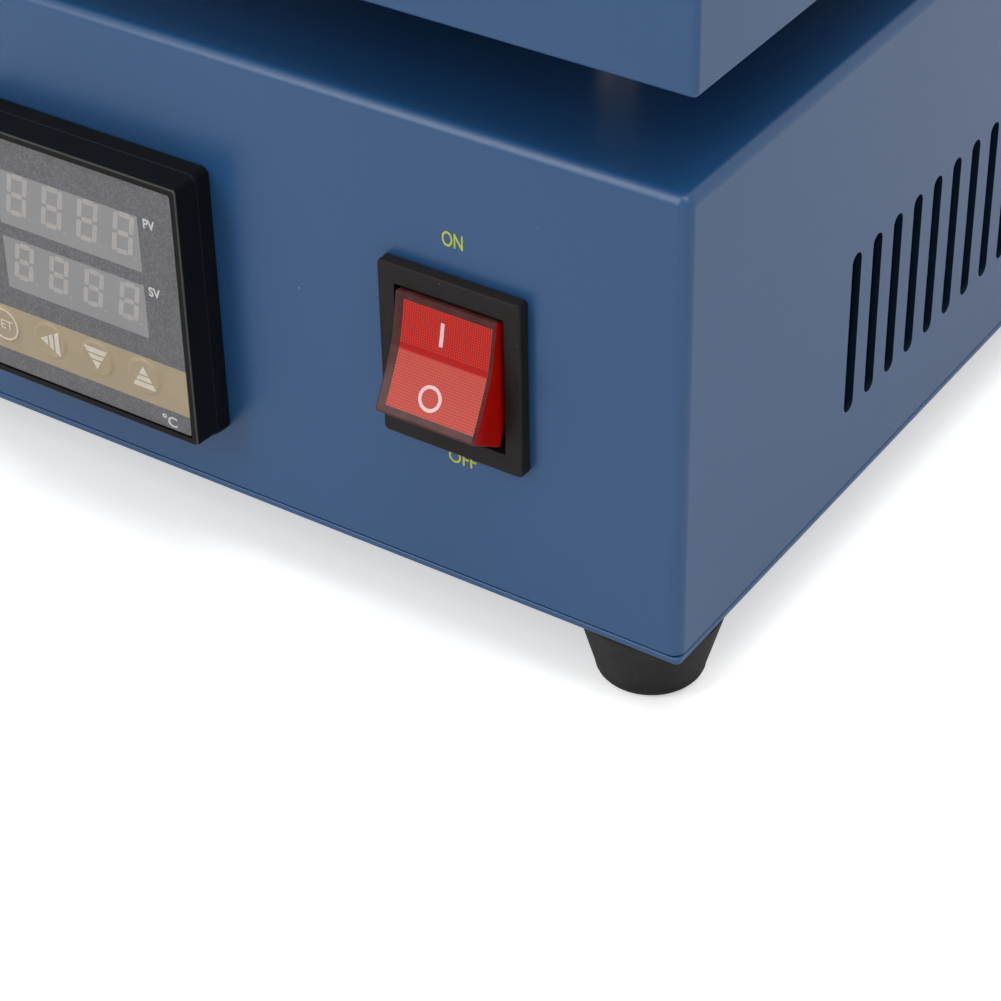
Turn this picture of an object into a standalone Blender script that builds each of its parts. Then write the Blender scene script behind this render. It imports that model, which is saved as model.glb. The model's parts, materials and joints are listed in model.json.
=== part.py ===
# PCB preheater: a temperature-controlled hot plate on a folded sheet housing.
# The front panel faces -Y, the right side faces +X and the feet stand on z = 0. Sizes are in metres.

import math

import bmesh
import bpy
from mathutils import Matrix, Vector

# Clearances
SEAT_GAP = 0.0003
FIT_GAP = 0.0003

# Control housing, a folded sheet box closed below by a base plate
HOUSING_WIDTH = 0.180
HOUSING_DEPTH = 0.180
HOUSING_HEIGHT = 0.08235
HOUSING_SHEET = 0.0012
HOUSING_BEND = 0.0020
BASE_SHEET = 0.0012
RETURN_FLANGE = 0.022

# Vent slots, the same row on both sides
VENT_COUNT = 12
VENT_FROM_FRONT = 0.0528
VENT_PITCH = 0.00695
VENT_WIDTH = 0.00305
VENT_LENGTH = 0.0299
VENT_BOTTOM = 0.0166

# Rubber feet and the screws that hold them and the base plate
FOOT_HEIGHT = 0.01335
FOOT_TOP_RADIUS = 0.0119
FOOT_TIP_RADIUS = 0.0084
FOOT_TIP_ROUND = 0.0012
FOOT_INSET = 0.0121
FOOT_RECESS_RADIUS = 0.0046
FOOT_RECESS_DEPTH = 0.0060
FOOT_SCREW_RADIUS = 0.0020
FOOT_SCREW_HEAD_RADIUS = 0.0038
FOOT_SCREW_HEAD = 0.0024
FOOT_SCREW_TAIL = 0.0030

# Guard tray around the heating plate
TRAY_OVERHANG = 0.0014
TRAY_LIFT = 0.0164
TRAY_SHEET = 0.0012
TRAY_BEND = 0.0010
BOARD_THICKNESS = 0.014
BOARD_MARGIN = 0.002
PLATE_MARGIN = 0.0152
PLATE_THICKNESS = 0.018
PLATE_PROUD = 0.0020
PLATE_CHAMFER = 0.0008

# Posts between housing and tray, each with a long bolt through it into the heating plate
POST_INSET = 0.031
POST_RADIUS = 0.0040
BOLT_RADIUS = 0.0025
BOLT_HEAD_RADIUS = 0.0043
BOLT_HEAD = 0.0030
BOLT_GRIP = 0.0080
BOLT_TIP_ROOM = 0.0010

# Cartridge heaters, the temperature probe and their leads
HEATER_RADIUS = 0.0050
HEATER_END_WALL = 0.0115
HEATER_SPACING = 0.060
PROBE_RADIUS = 0.0025
PROBE_LENGTH = 0.050
BORE_MOUTH = 0.0005
LEAD_RADIUS = 0.0012
LEAD_SPACING = 0.0030
GROMMET_INSET = 0.0100
GROMMET_BORE_RADIUS = 0.0052
GROMMET_WAIST_RADIUS = 0.0062
GROMMET_LIP_RADIUS = 0.0076
GROMMET_LIP = 0.0012

# Terminal block on the base plate
BLOCK_WIDTH = 0.030
BLOCK_DEPTH = 0.017
BLOCK_HEIGHT = 0.011
BLOCK_FROM_LEFT = 0.070
BLOCK_FROM_REAR = 0.032
BLOCK_WELL_RADIUS = 0.0023
BLOCK_WELL_DEPTH = 0.0060
BLOCK_WELL_PITCH = 0.0100
BLOCK_PEG_RADIUS = 0.0015
BLOCK_PEG_SPACING = 0.018

# Solid state relay on the base plate
RELAY_WIDTH = 0.045
RELAY_LENGTH = 0.060
RELAY_HEIGHT = 0.0228
RELAY_EAR_HEIGHT = 0.0040
RELAY_EAR_LENGTH = 0.0070
RELAY_FROM_RIGHT = 0.028
RELAY_FROM_REAR = 0.064
RELAY_SCREW_FROM_END = 0.0037
RELAY_WELL_RADIUS = 0.0036
RELAY_WELL_DEPTH = 0.0030
RELAY_SCREW_RADIUS = 0.0020
RELAY_SCREW_HEAD_RADIUS = 0.0038
RELAY_SCREW_HEAD = 0.0024
RELAY_SCREW_TAIL = 0.0020

# Temperature controller, a 48 mm panel instrument
CONTROLLER_FROM_RIGHT = 0.1097
CONTROLLER_Z = 0.03725
CONTROLLER_LIP = 0.0023
CONTROLLER_OUT = 0.0077
CONTROLLER_DRAFT = 0.0007
CONTROLLER_CORNER = 0.0014
LENS_CORNER = 0.0003
CONTROLLER_RIDGE_OUT = 0.0032
CONTROLLER_RIM = 0.0011
CONTROLLER_LEDGE = 0.0040
LENS_RECESS = 0.0003
LENS_THICKNESS = 0.0012
CASE_SIZE = 0.0444
CASE_DEPTH = 0.100
CASE_WALL = 0.0016
DISPLAY_LEFT_MARGIN = 0.0100
DISPLAY_RIGHT_MARGIN = 0.0090
DISPLAY_TOP_MARGIN = 0.00785
DISPLAY_BOTTOM_MARGIN = 0.01895
DISPLAY_GAP = 0.0024
DISPLAY_DEPTH = 0.0036
DISPLAY_BOARD_SHEET = 0.0016
KEY_COUNT = 4
KEY_SPACING = 0.0029
KEY_LEFT_MARGIN = 0.0085
KEY_RIGHT_MARGIN = 0.0108
KEY_BOTTOM_MARGIN = 0.0107
KEY_PROUD = 0.0003
KEY_TRAVEL = 0.0004
MAIN_BOARD_SHEET = 0.0016
MAIN_BOARD_INSET = 0.0057
MAIN_BOARD_X = 0.0090
TRANSFORMER_WIDTH = 0.018
TRANSFORMER_LENGTH = 0.028
TRANSFORMER_HEIGHT = 0.026
TRANSFORMER_INSET = 0.034
TERMINALS_SIDE_MARGIN = 0.0016
TERMINALS_END_MARGIN = 0.0056
TERMINALS_DEPTH = 0.0100
TERMINALS_PROUD = 0.0040
TERMINAL_WELL_COUNT = 5
TERMINAL_WELL_SIZE = 0.0050
TERMINAL_WELL_DEPTH = 0.0025
CLIP_WALL = 0.0028
CLIP_DEPTH = 0.0080

# Rocker switch
SWITCH_FROM_RIGHT = 0.0395
SWITCH_Z = 0.04185
SWITCH_FLANGE_WIDTH = 0.0257
SWITCH_FLANGE_HEIGHT = 0.0310
SWITCH_FLANGE_OUT = 0.0022
SWITCH_FLANGE_DRAFT = 0.0001
SWITCH_FLANGE_CORNER = 0.0008
SWITCH_BODY_WIDTH = 0.0214
SWITCH_BODY_HEIGHT = 0.0279
SWITCH_BODY_DEPTH = 0.0220
SWITCH_MOUTH_WIDTH = 0.0195
SWITCH_MOUTH_HEIGHT = 0.0240
SWITCH_MOUTH_DEPTH = 0.0130
ROCKER_WIDTH = 0.0181
ROCKER_HALF_LENGTH = 0.0096
ROCKER_RISE = 0.0077
ROCKER_VALLEY = 0.0013
ROCKER_VALLEY_UP = 0.0012
ROCKER_DISH = 0.00015
ROCKER_HEEL = 0.0006
ROCKER_HEEL_REACH = 0.0114
ROCKER_WEB = 0.0042
ROCKER_HUB = 0.0032
ROCKER_TILT = math.radians(20.1)
PIVOT_BACK = 0.0010
PIVOT_RADIUS = 0.0014
PIVOT_REACH = 0.0005
TAB_WIDTH = 0.0063
TAB_SHEET = 0.0008
TAB_INSIDE = 0.0040
TAB_OUTSIDE = 0.0100
TAB_SPACING_X = 0.0110
TAB_SPACING_Z = 0.0130

# Mains inlet on the rear panel
INLET_FROM_RIGHT = 0.0400
INLET_Z = 0.0360
INLET_FLANGE_WIDTH = 0.0500
INLET_FLANGE_HEIGHT = 0.0240
INLET_FLANGE = 0.0030
INLET_FLANGE_CORNER = 0.0060
INLET_BODY_WIDTH = 0.0272
INLET_BODY_HEIGHT = 0.0196
INLET_BODY_DEPTH = 0.0220
INLET_MOUTH_WIDTH = 0.0240
INLET_MOUTH_HEIGHT = 0.0164
INLET_MOUTH_BEVEL = 0.0040
INLET_MOUTH_DEPTH = 0.0170
PIN_SPACING = 0.0140
PIN_OFFSET = 0.0020
PIN_WIDTH = 0.0020
PIN_HEIGHT = 0.0040
PIN_LENGTH = 0.0130
PIN_TAIL = 0.0080
INLET_SCREW_SPACING = 0.0400
INLET_SCREW_RADIUS = 0.0015
INLET_SCREW_HEAD_RADIUS = 0.0028
INLET_SCREW_HEAD = 0.0016
INLET_SCREW_LENGTH = 0.0060

# Facets of round work
ROUND_STEPS = 20
HOLE_STEPS = 16
BEND_STEPS = 3

# Levels, from the floor up
BASE_Z = FOOT_HEIGHT
BASE_TOP = BASE_Z + BASE_SHEET
HOUSING_Z = BASE_TOP + SEAT_GAP
FLANGE_TOP = HOUSING_Z + HOUSING_SHEET
HOUSING_TOP = BASE_Z + HOUSING_HEIGHT
CEILING = HOUSING_TOP - HOUSING_SHEET
TRAY_Z = HOUSING_TOP + TRAY_LIFT
TRAY_FLOOR = TRAY_Z + TRAY_SHEET
BOARD_Z = TRAY_FLOOR + SEAT_GAP
BOARD_TOP = BOARD_Z + BOARD_THICKNESS
PLATE_Z = BOARD_TOP + SEAT_GAP
PLATE_TOP = PLATE_Z + PLATE_THICKNESS
TRAY_TOP = PLATE_TOP - PLATE_PROUD
BORE_Z = (PLATE_Z + PLATE_TOP) / 2


def rocker_reach():
    """How far the rocker's raised end stands in front of the panel."""
    end = ROCKER_RISE * math.cos(ROCKER_TILT) + ROCKER_HALF_LENGTH * math.sin(ROCKER_TILT)
    return end - PIVOT_BACK


# Depths: the origin lies midway between the foremost and the rearmost point
REAR_REACH = 2 * SEAT_GAP + INLET_FLANGE + INLET_SCREW_HEAD
FRONT_REACH = max(rocker_reach(), CONTROLLER_OUT + KEY_PROUD)
MID_Y = (max(FRONT_REACH, TRAY_OVERHANG) - max(REAR_REACH, TRAY_OVERHANG)) / 2
FRONT_Y = MID_Y - HOUSING_DEPTH / 2
REAR_Y = MID_Y + HOUSING_DEPTH / 2
GROMMET_Y = REAR_Y - GROMMET_INSET
RELAY_Y = REAR_Y - RELAY_FROM_REAR
BLOCK_Y = REAR_Y - BLOCK_FROM_REAR

# Tray and heating plate
TRAY_WIDTH = HOUSING_WIDTH + 2 * TRAY_OVERHANG
TRAY_DEPTH = HOUSING_DEPTH + 2 * TRAY_OVERHANG
TRAY_BACK = REAR_Y + TRAY_OVERHANG - TRAY_SHEET
BOARD_WIDTH = TRAY_WIDTH - 2 * (TRAY_SHEET + BOARD_MARGIN)
BOARD_DEPTH = TRAY_DEPTH - 2 * (TRAY_SHEET + BOARD_MARGIN)
BOARD_BACK = MID_Y + BOARD_DEPTH / 2
PLATE_WIDTH = TRAY_WIDTH - 2 * (TRAY_SHEET + PLATE_MARGIN)
PLATE_DEPTH = TRAY_DEPTH - 2 * (TRAY_SHEET + PLATE_MARGIN)
PLATE_BACK = MID_Y + PLATE_DEPTH / 2
HEATER_LENGTH = PLATE_DEPTH - BORE_MOUTH - HEATER_END_WALL

# Places across the width, and the middles of the panel parts as (x, z)
CONTROLLER_X = HOUSING_WIDTH / 2 - CONTROLLER_FROM_RIGHT
SWITCH_X = HOUSING_WIDTH / 2 - SWITCH_FROM_RIGHT
INLET_X = HOUSING_WIDTH / 2 - INLET_FROM_RIGHT
RELAY_X = HOUSING_WIDTH / 2 - RELAY_FROM_RIGHT
BLOCK_X = BLOCK_FROM_LEFT - HOUSING_WIDTH / 2
CONTROLLER_SIZE = CASE_SIZE + 2 * CONTROLLER_LIP
DISPLAY_WIDTH = CONTROLLER_SIZE - DISPLAY_LEFT_MARGIN - DISPLAY_RIGHT_MARGIN
DISPLAY_HEIGHT = (CONTROLLER_SIZE - DISPLAY_TOP_MARGIN - DISPLAY_BOTTOM_MARGIN - DISPLAY_GAP) / 2
DISPLAY_X = (DISPLAY_LEFT_MARGIN - DISPLAY_RIGHT_MARGIN) / 2
PV_Z = CONTROLLER_SIZE / 2 - DISPLAY_TOP_MARGIN - DISPLAY_HEIGHT / 2
SV_Z = PV_Z - DISPLAY_HEIGHT - DISPLAY_GAP
KEY_PITCH = (CONTROLLER_SIZE - KEY_LEFT_MARGIN - KEY_RIGHT_MARGIN) / (KEY_COUNT - 1)
KEY_RADIUS = (KEY_PITCH - KEY_SPACING) / 2
KEY_FIRST_X = CONTROLLER_SIZE / 2 - KEY_RIGHT_MARGIN
KEY_Z = KEY_BOTTOM_MARGIN - CONTROLLER_SIZE / 2
TERMINALS_WIDTH = CASE_SIZE - 2 * (CASE_WALL + TERMINALS_SIDE_MARGIN)
TERMINALS_HEIGHT = CASE_SIZE - 2 * (CASE_WALL + TERMINALS_END_MARGIN)
TERMINAL_WELL_PITCH = TERMINALS_WIDTH / TERMINAL_WELL_COUNT
CONTROLLER_MIDDLE = (CONTROLLER_X, BASE_Z + CONTROLLER_Z)
SWITCH_MIDDLE = (SWITCH_X, BASE_Z + SWITCH_Z)
INLET_MIDDLE = (INLET_X, BASE_Z + INLET_Z)


def finish(name, colour, roughness, metallic=0.0):
    surface = bpy.data.materials.new(name)
    surface.use_nodes = True
    shader = surface.node_tree.nodes["Principled BSDF"]
    shader.inputs["Base Color"].default_value = (*colour, 1.0)
    shader.inputs["Roughness"].default_value = roughness
    shader.inputs["Metallic"].default_value = metallic
    return surface


def add_object(name, shape, surface, place=(0, 0, 0), smooth=True):
    """Turns a bmesh into a named object with its faces pointing out."""
    bmesh.ops.recalc_face_normals(shape, faces=shape.faces)
    mesh = bpy.data.meshes.new(name)
    shape.to_mesh(mesh)
    shape.free()
    if smooth:
        mesh.shade_smooth()
        mesh.set_sharp_from_angle(angle=math.radians(30))
    piece = bpy.data.objects.new(name, mesh)
    piece.location = place
    bpy.context.collection.objects.link(piece)
    if surface:
        mesh.materials.append(surface)
    return piece


def add_shape(piece, shapes, operation, place=(0, 0, 0)):
    """Cuts shapes from a piece, or joins them to it. The guide object stays out of the build."""
    for shape in shapes:
        label = f"{piece.name}_{operation.lower()}_{len(piece.modifiers) + 1}"
        guide = add_object(label, shape, None, place, smooth=False)
        guide.hide_render = True
        guide.display_type = "WIRE"
        guide.hide_set(True)
        step = piece.modifiers.new(label, "BOOLEAN")
        step.operation = operation
        step.object = guide
        step.solver = "EXACT"


def cut(piece, *shapes, place=(0, 0, 0)):
    add_shape(piece, shapes, "DIFFERENCE", place)


def join(piece, *shapes, place=(0, 0, 0)):
    add_shape(piece, shapes, "UNION", place)


def block(x_span, y_span, z_span):
    shape = bmesh.new()
    bmesh.ops.create_cube(shape, size=1.0)
    low = Vector((x_span[0], y_span[0], z_span[0]))
    high = Vector((x_span[1], y_span[1], z_span[1]))
    size = high - low
    bmesh.ops.scale(shape, vec=size, verts=shape.verts)
    bmesh.ops.translate(shape, vec=(low + high) / 2, verts=shape.verts)
    return shape


def around(middle, size):
    return (middle - size / 2, middle + size / 2)


def round_edges(shape, radius, steps, chosen):
    edges = [edge for edge in shape.edges if chosen(edge)]
    bmesh.ops.bevel(shape, geom=edges, offset=radius, offset_type="OFFSET", segments=steps,
                    profile=0.5, affect="EDGES")


def upright(edge):
    first, last = edge.verts
    return abs(first.co.z - last.co.z) > abs(first.co.x - last.co.x) + abs(first.co.y - last.co.y)


def level_at(height):
    def chosen(edge):
        return all(abs(vert.co.z - height) < 1e-6 for vert in edge.verts)
    return chosen


def oblong(width, height, corner, steps=BEND_STEPS):
    """Outline of a rectangle with round corners, counter-clockwise around the middle."""
    points = []
    for turn, (side_x, side_y) in enumerate([(1, -1), (1, 1), (-1, 1), (-1, -1)]):
        centre_x = side_x * (width / 2 - corner)
        centre_y = side_y * (height / 2 - corner)
        for step in range(steps + 1):
            angle = math.radians(-90 + 90 * turn + 90 * step / steps)
            points.append((centre_x + corner * math.cos(angle), centre_y + corner * math.sin(angle)))
    return points


def circle(radius, steps=HOLE_STEPS):
    return [(radius * math.cos(2 * math.pi * step / steps), radius * math.sin(2 * math.pi * step / steps))
            for step in range(steps)]


def loft(layers, axis="Z"):
    """Closed solid through outlines of equal length. A layer is an outline and its place on the axis."""
    lay = {
        "X": lambda point, level: (level, point[0], point[1]),
        "Y": lambda point, level: (point[0], level, point[1]),
        "Z": lambda point, level: (point[0], point[1], level),
    }[axis]
    shape = bmesh.new()
    rings = [[shape.verts.new(lay(point, level)) for point in outline] for outline, level in layers]
    shape.faces.new(rings[0])
    shape.faces.new(rings[-1])
    for ring, after in zip(rings, rings[1:]):
        for index in range(len(ring)):
            follow = (index + 1) % len(ring)
            shape.faces.new((ring[index], ring[follow], after[follow], after[index]))
    return shape


def prism(outline, near, far, axis="Z"):
    return loft([(outline, near), (outline, far)], axis)


def shifted(outline, across, along):
    return [(point[0] + across, point[1] + along) for point in outline]


def panel_block(middle, width, height, corner, near, far, steps=1):
    """Block along Y with round upright edges, its middle at (x, z)."""
    return prism(shifted(oblong(width, height, corner, steps), *middle), near, far, "Y")


def rod(radius, near, far, centre=(0, 0), axis="Z", steps=HOLE_STEPS):
    return prism(shifted(circle(radius, steps), *centre), near, far, axis)


def turned(profile, steps=ROUND_STEPS):
    """Closed profile of (radius, height) points turned around Z."""
    shape = bmesh.new()
    verts = [shape.verts.new((radius, 0, height)) for radius, height in profile]
    edges = [shape.edges.new((verts[index - 1], verts[index])) for index in range(len(verts))]
    bmesh.ops.spin(shape, geom=verts + edges, cent=(0, 0, 0), axis=(0, 0, 1), dvec=(0, 0, 0),
                   angle=2 * math.pi, steps=steps, use_merge=True, use_duplicate=False)
    bmesh.ops.remove_doubles(shape, verts=shape.verts, dist=1e-6)
    return shape


def merged(shapes):
    """One cutter from shapes that lie apart."""
    whole = bmesh.new()
    for shape in shapes:
        carrier = bpy.data.meshes.new("carrier")
        shape.to_mesh(carrier)
        shape.free()
        whole.from_mesh(carrier)
        bpy.data.meshes.remove(carrier)
    return whole


def faced_back(shape):
    """Turns a shape made along +Z so that its axis runs along -Y."""
    bmesh.ops.rotate(shape, verts=shape.verts, cent=(0, 0, 0), matrix=Matrix.Rotation(math.pi / 2, 3, "X"))
    return shape


def smooth_route(points, steps=4):
    """Points along one smooth curve through the route's own points."""
    route = [Vector(point) for point in points]
    ends = [2 * route[0] - route[1], *route, 2 * route[-1] - route[-2]]
    curve = []
    for index in range(1, len(ends) - 2):
        before, start, stop, after = ends[index - 1:index + 3]
        for step in range(steps):
            part = step / steps
            curve.append(0.5 * (2 * start + (stop - before) * part
                                + (2 * before - 5 * start + 4 * stop - after) * part ** 2
                                + (3 * start - 3 * stop + after - before) * part ** 3))
    curve.append(route[-1])
    return curve


def lead(name, points, radius, surface):
    """Round lead along a smooth route, closed at both ends."""
    curve = bpy.data.curves.new(name, "CURVE")
    curve.dimensions = "3D"
    curve.bevel_depth = radius
    curve.bevel_resolution = 2
    curve.use_fill_caps = True
    route = smooth_route(points)
    spline = curve.splines.new("POLY")
    spline.points.add(len(route) - 1)
    for target, point in zip(spline.points, route):
        target.co = (*point, 1.0)
    curve.materials.append(surface)
    piece = bpy.data.objects.new(name, curve)
    bpy.context.collection.objects.link(piece)
    return piece


def corners(half_x, half_y, middle_y):
    """The four corner places with the names of their corners."""
    places = []
    for row, side_y in (("front", -1), ("rear", 1)):
        for side, side_x in (("left", -1), ("right", 1)):
            places.append((f"{row}_{side}", side_x * half_x, middle_y + side_y * half_y))
    return places


def foot_places():
    return corners(HOUSING_WIDTH / 2 - FOOT_INSET, HOUSING_DEPTH / 2 - FOOT_INSET, MID_Y)


def post_places():
    return corners(HOUSING_WIDTH / 2 - POST_INSET, HOUSING_DEPTH / 2 - POST_INSET, MID_Y)


def relay_screw_places():
    reach = RELAY_LENGTH / 2 - RELAY_SCREW_FROM_END
    return [(RELAY_X, RELAY_Y + side * reach) for side in (-1, 1)]


def peg_places():
    return [(BLOCK_X + side * BLOCK_PEG_SPACING / 2, BLOCK_Y) for side in (-1, 1)]


def holes(places, radius, near, far):
    return merged([rod(radius + FIT_GAP, near, far, place) for place in places])


def slot_outline():
    return oblong(VENT_WIDTH, VENT_LENGTH, VENT_WIDTH / 2 - 1e-5, steps=4)


def panel_hole(middle, width, height, corner, panel_y):
    """Cutter for a body of this size, through the panel whose outer face lies at panel_y."""
    return panel_block(middle, width + 2 * FIT_GAP, height + 2 * FIT_GAP, corner,
                       panel_y - 2 * HOUSING_SHEET, panel_y + 2 * HOUSING_SHEET)


def inlet_screw_holes(near, far):
    return merged([
        rod(INLET_SCREW_RADIUS + FIT_GAP, near, far,
            (INLET_X + side * INLET_SCREW_SPACING / 2, INLET_MIDDLE[1]), "Y")
        for side in (-1, 1)])


def make_control_housing(paint):
    shell = block(around(0, HOUSING_WIDTH), around(MID_Y, HOUSING_DEPTH), (HOUSING_Z, HOUSING_TOP))
    at_top = level_at(HOUSING_TOP)
    round_edges(shell, HOUSING_BEND, BEND_STEPS, lambda edge: upright(edge) or at_top(edge))
    housing = add_object("control_housing", shell, paint)
    inner_width = HOUSING_WIDTH - 2 * HOUSING_SHEET
    inner_depth = HOUSING_DEPTH - 2 * HOUSING_SHEET
    bay = block(around(0, inner_width), around(MID_Y, inner_depth), (FLANGE_TOP, CEILING))
    mouth = block(around(0, inner_width), around(MID_Y, HOUSING_DEPTH - 2 * RETURN_FLANGE),
                  (HOUSING_Z - HOUSING_SHEET, FLANGE_TOP + HOUSING_SHEET))
    cut(housing, bay, mouth)

    first = FRONT_Y + VENT_FROM_FRONT
    middle = BASE_Z + VENT_BOTTOM + VENT_LENGTH / 2
    for side in (-1, 1):
        wall = sorted(side * (HOUSING_WIDTH / 2 + offset) for offset in (-2 * HOUSING_SHEET, HOUSING_SHEET))
        vents = [prism(shifted(slot_outline(), first + number * VENT_PITCH, middle), *wall, "X")
                 for number in range(VENT_COUNT)]
        cut(housing, merged(vents))

    cut(housing, merged([
        panel_hole(CONTROLLER_MIDDLE, CASE_SIZE, CASE_SIZE, CASE_WALL / 2, FRONT_Y),
        panel_hole(SWITCH_MIDDLE, SWITCH_BODY_WIDTH, SWITCH_BODY_HEIGHT, SWITCH_FLANGE_CORNER, FRONT_Y),
        panel_hole(INLET_MIDDLE, INLET_BODY_WIDTH, INLET_BODY_HEIGHT, HOUSING_SHEET, REAR_Y),
        inlet_screw_holes(REAR_Y - 2 * HOUSING_SHEET, REAR_Y + HOUSING_SHEET)]))
    bolts = holes([(x, y) for _, x, y in post_places()], BOLT_RADIUS, CEILING - HOUSING_SHEET,
                  HOUSING_TOP + HOUSING_SHEET)
    leads = rod(GROMMET_WAIST_RADIUS + FIT_GAP, CEILING - HOUSING_SHEET, HOUSING_TOP + HOUSING_SHEET,
                (0, GROMMET_Y))
    screws = holes([(x, y) for _, x, y in foot_places()], FOOT_SCREW_RADIUS, HOUSING_Z - HOUSING_SHEET,
                   FLANGE_TOP + HOUSING_SHEET)
    cut(housing, merged([bolts, leads, screws]))


def make_base_plate(paint):
    plate = add_object("base_plate", block(around(0, HOUSING_WIDTH), around(MID_Y, HOUSING_DEPTH),
                                           (BASE_Z, BASE_TOP)), paint)
    below = BASE_Z - BASE_SHEET
    above = BASE_TOP + BASE_SHEET
    cut(plate, merged([
        holes([(x, y) for _, x, y in foot_places()], FOOT_SCREW_RADIUS, below, above),
        holes(relay_screw_places(), RELAY_SCREW_RADIUS, below, above),
        holes(peg_places(), BLOCK_PEG_RADIUS, below, above)]))


def make_feet(rubber, steel):
    top = FOOT_HEIGHT - SEAT_GAP
    bore = FOOT_SCREW_RADIUS + FIT_GAP
    slope = (FOOT_TOP_RADIUS - FOOT_TIP_RADIUS) / top
    profile = [
        (bore, top), (FOOT_TOP_RADIUS, top),
        (FOOT_TIP_RADIUS + slope * FOOT_TIP_ROUND, FOOT_TIP_ROUND),
        (FOOT_TIP_RADIUS - 0.3 * FOOT_TIP_ROUND, 0.3 * FOOT_TIP_ROUND),
        (FOOT_TIP_RADIUS - FOOT_TIP_ROUND, 0),
        (FOOT_RECESS_RADIUS, 0), (FOOT_RECESS_RADIUS, FOOT_RECESS_DEPTH), (bore, FOOT_RECESS_DEPTH)]
    seat = FOOT_RECESS_DEPTH - SEAT_GAP
    for corner, x, y in foot_places():
        add_object(f"foot_{corner}", turned(profile), rubber, (x, y, 0))
        add_object(f"foot_screw_{corner}",
                   screw(FOOT_SCREW_HEAD_RADIUS, FOOT_SCREW_HEAD, FOOT_SCREW_RADIUS,
                         FLANGE_TOP + FOOT_SCREW_TAIL - seat), steel, (x, y, seat))


def screw(head_radius, head, radius, length):
    """Screw with its head below z = 0 and its shank above."""
    chamfer = head / 3
    profile = [(0, -head), (head_radius - chamfer, -head), (head_radius, chamfer - head), (head_radius, 0),
               (radius, 0), (radius, length - radius / 3), (radius * 2 / 3, length), (0, length)]
    return turned(profile, HOLE_STEPS)


def make_posts(metal, steel):
    length = TRAY_LIFT - 2 * SEAT_GAP
    bore = BOLT_RADIUS + FIT_GAP
    tube = [(bore, 0), (POST_RADIUS, 0), (POST_RADIUS, length), (bore, length)]
    seat = CEILING - SEAT_GAP
    for corner, x, y in post_places():
        add_object(f"standoff_{corner}", turned(tube), metal, (x, y, HOUSING_TOP + SEAT_GAP))
        add_object(f"plate_bolt_{corner}",
                   screw(BOLT_HEAD_RADIUS, BOLT_HEAD, BOLT_RADIUS, PLATE_Z + BOLT_GRIP - seat),
                   steel, (x, y, seat))


def bolt_holes(near, far):
    return holes([(x, y) for _, x, y in post_places()], BOLT_RADIUS, near, far)


def make_guard_tray(paint):
    shell = block(around(0, TRAY_WIDTH), around(MID_Y, TRAY_DEPTH), (TRAY_Z, TRAY_TOP))
    at_bottom = level_at(TRAY_Z)
    round_edges(shell, TRAY_BEND, BEND_STEPS, lambda edge: upright(edge) or at_bottom(edge))
    tray = add_object("guard_tray", shell, paint)
    cut(tray, block(around(0, TRAY_WIDTH - 2 * TRAY_SHEET), around(MID_Y, TRAY_DEPTH - 2 * TRAY_SHEET),
                    (TRAY_FLOOR, TRAY_TOP + TRAY_SHEET)))
    below = TRAY_Z - TRAY_SHEET
    above = TRAY_FLOOR + TRAY_SHEET
    cut(tray, merged([bolt_holes(below, above),
                      rod(GROMMET_WAIST_RADIUS + FIT_GAP, below, above, (0, GROMMET_Y))]))


def make_insulation_board(fibre):
    board = add_object("insulation_board", block(around(0, BOARD_WIDTH), around(MID_Y, BOARD_DEPTH),
                                                 (BOARD_Z, BOARD_TOP)), fibre)
    below = BOARD_Z - BOARD_THICKNESS
    above = BOARD_TOP + BOARD_THICKNESS
    notch = GROMMET_LIP_RADIUS + 3 * FIT_GAP
    cut(board, merged([bolt_holes(below, above),
                       block((-notch, notch), (GROMMET_Y - notch, BOARD_BACK + notch), (below, above))]))


def make_heating_plate(aluminium):
    slab = block(around(0, PLATE_WIDTH), around(MID_Y, PLATE_DEPTH), (PLATE_Z, PLATE_TOP))
    at_top = level_at(PLATE_TOP)
    round_edges(slab, PLATE_CHAMFER, 1, lambda edge: upright(edge) or at_top(edge))
    plate = add_object("heating_plate", slab, aluminium)
    mouth = PLATE_BACK + PLATE_CHAMFER
    bores = [rod(HEATER_RADIUS + FIT_GAP, PLATE_BACK - BORE_MOUTH - HEATER_LENGTH - FIT_GAP, mouth,
                 (side * HEATER_SPACING / 2, BORE_Z), "Y") for side in (-1, 1)]
    bores.append(rod(PROBE_RADIUS + FIT_GAP, PLATE_BACK - BORE_MOUTH - PROBE_LENGTH - FIT_GAP, mouth,
                     (0, BORE_Z), "Y"))
    cut(plate, merged([*bores, bolt_holes(PLATE_Z - BOLT_TIP_ROOM, PLATE_Z + BOLT_GRIP + BOLT_TIP_ROOM)]))


def make_heaters(steel):
    back = PLATE_BACK - BORE_MOUTH
    for name, side in (("left", -1), ("right", 1)):
        cartridge = rod(HEATER_RADIUS, back - HEATER_LENGTH, back, (side * HEATER_SPACING / 2, BORE_Z), "Y")
        add_object(f"heater_cartridge_{name}", cartridge, steel)
    add_object("thermocouple_probe", rod(PROBE_RADIUS, back - PROBE_LENGTH, back, (0, BORE_Z), "Y"), steel)


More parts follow.
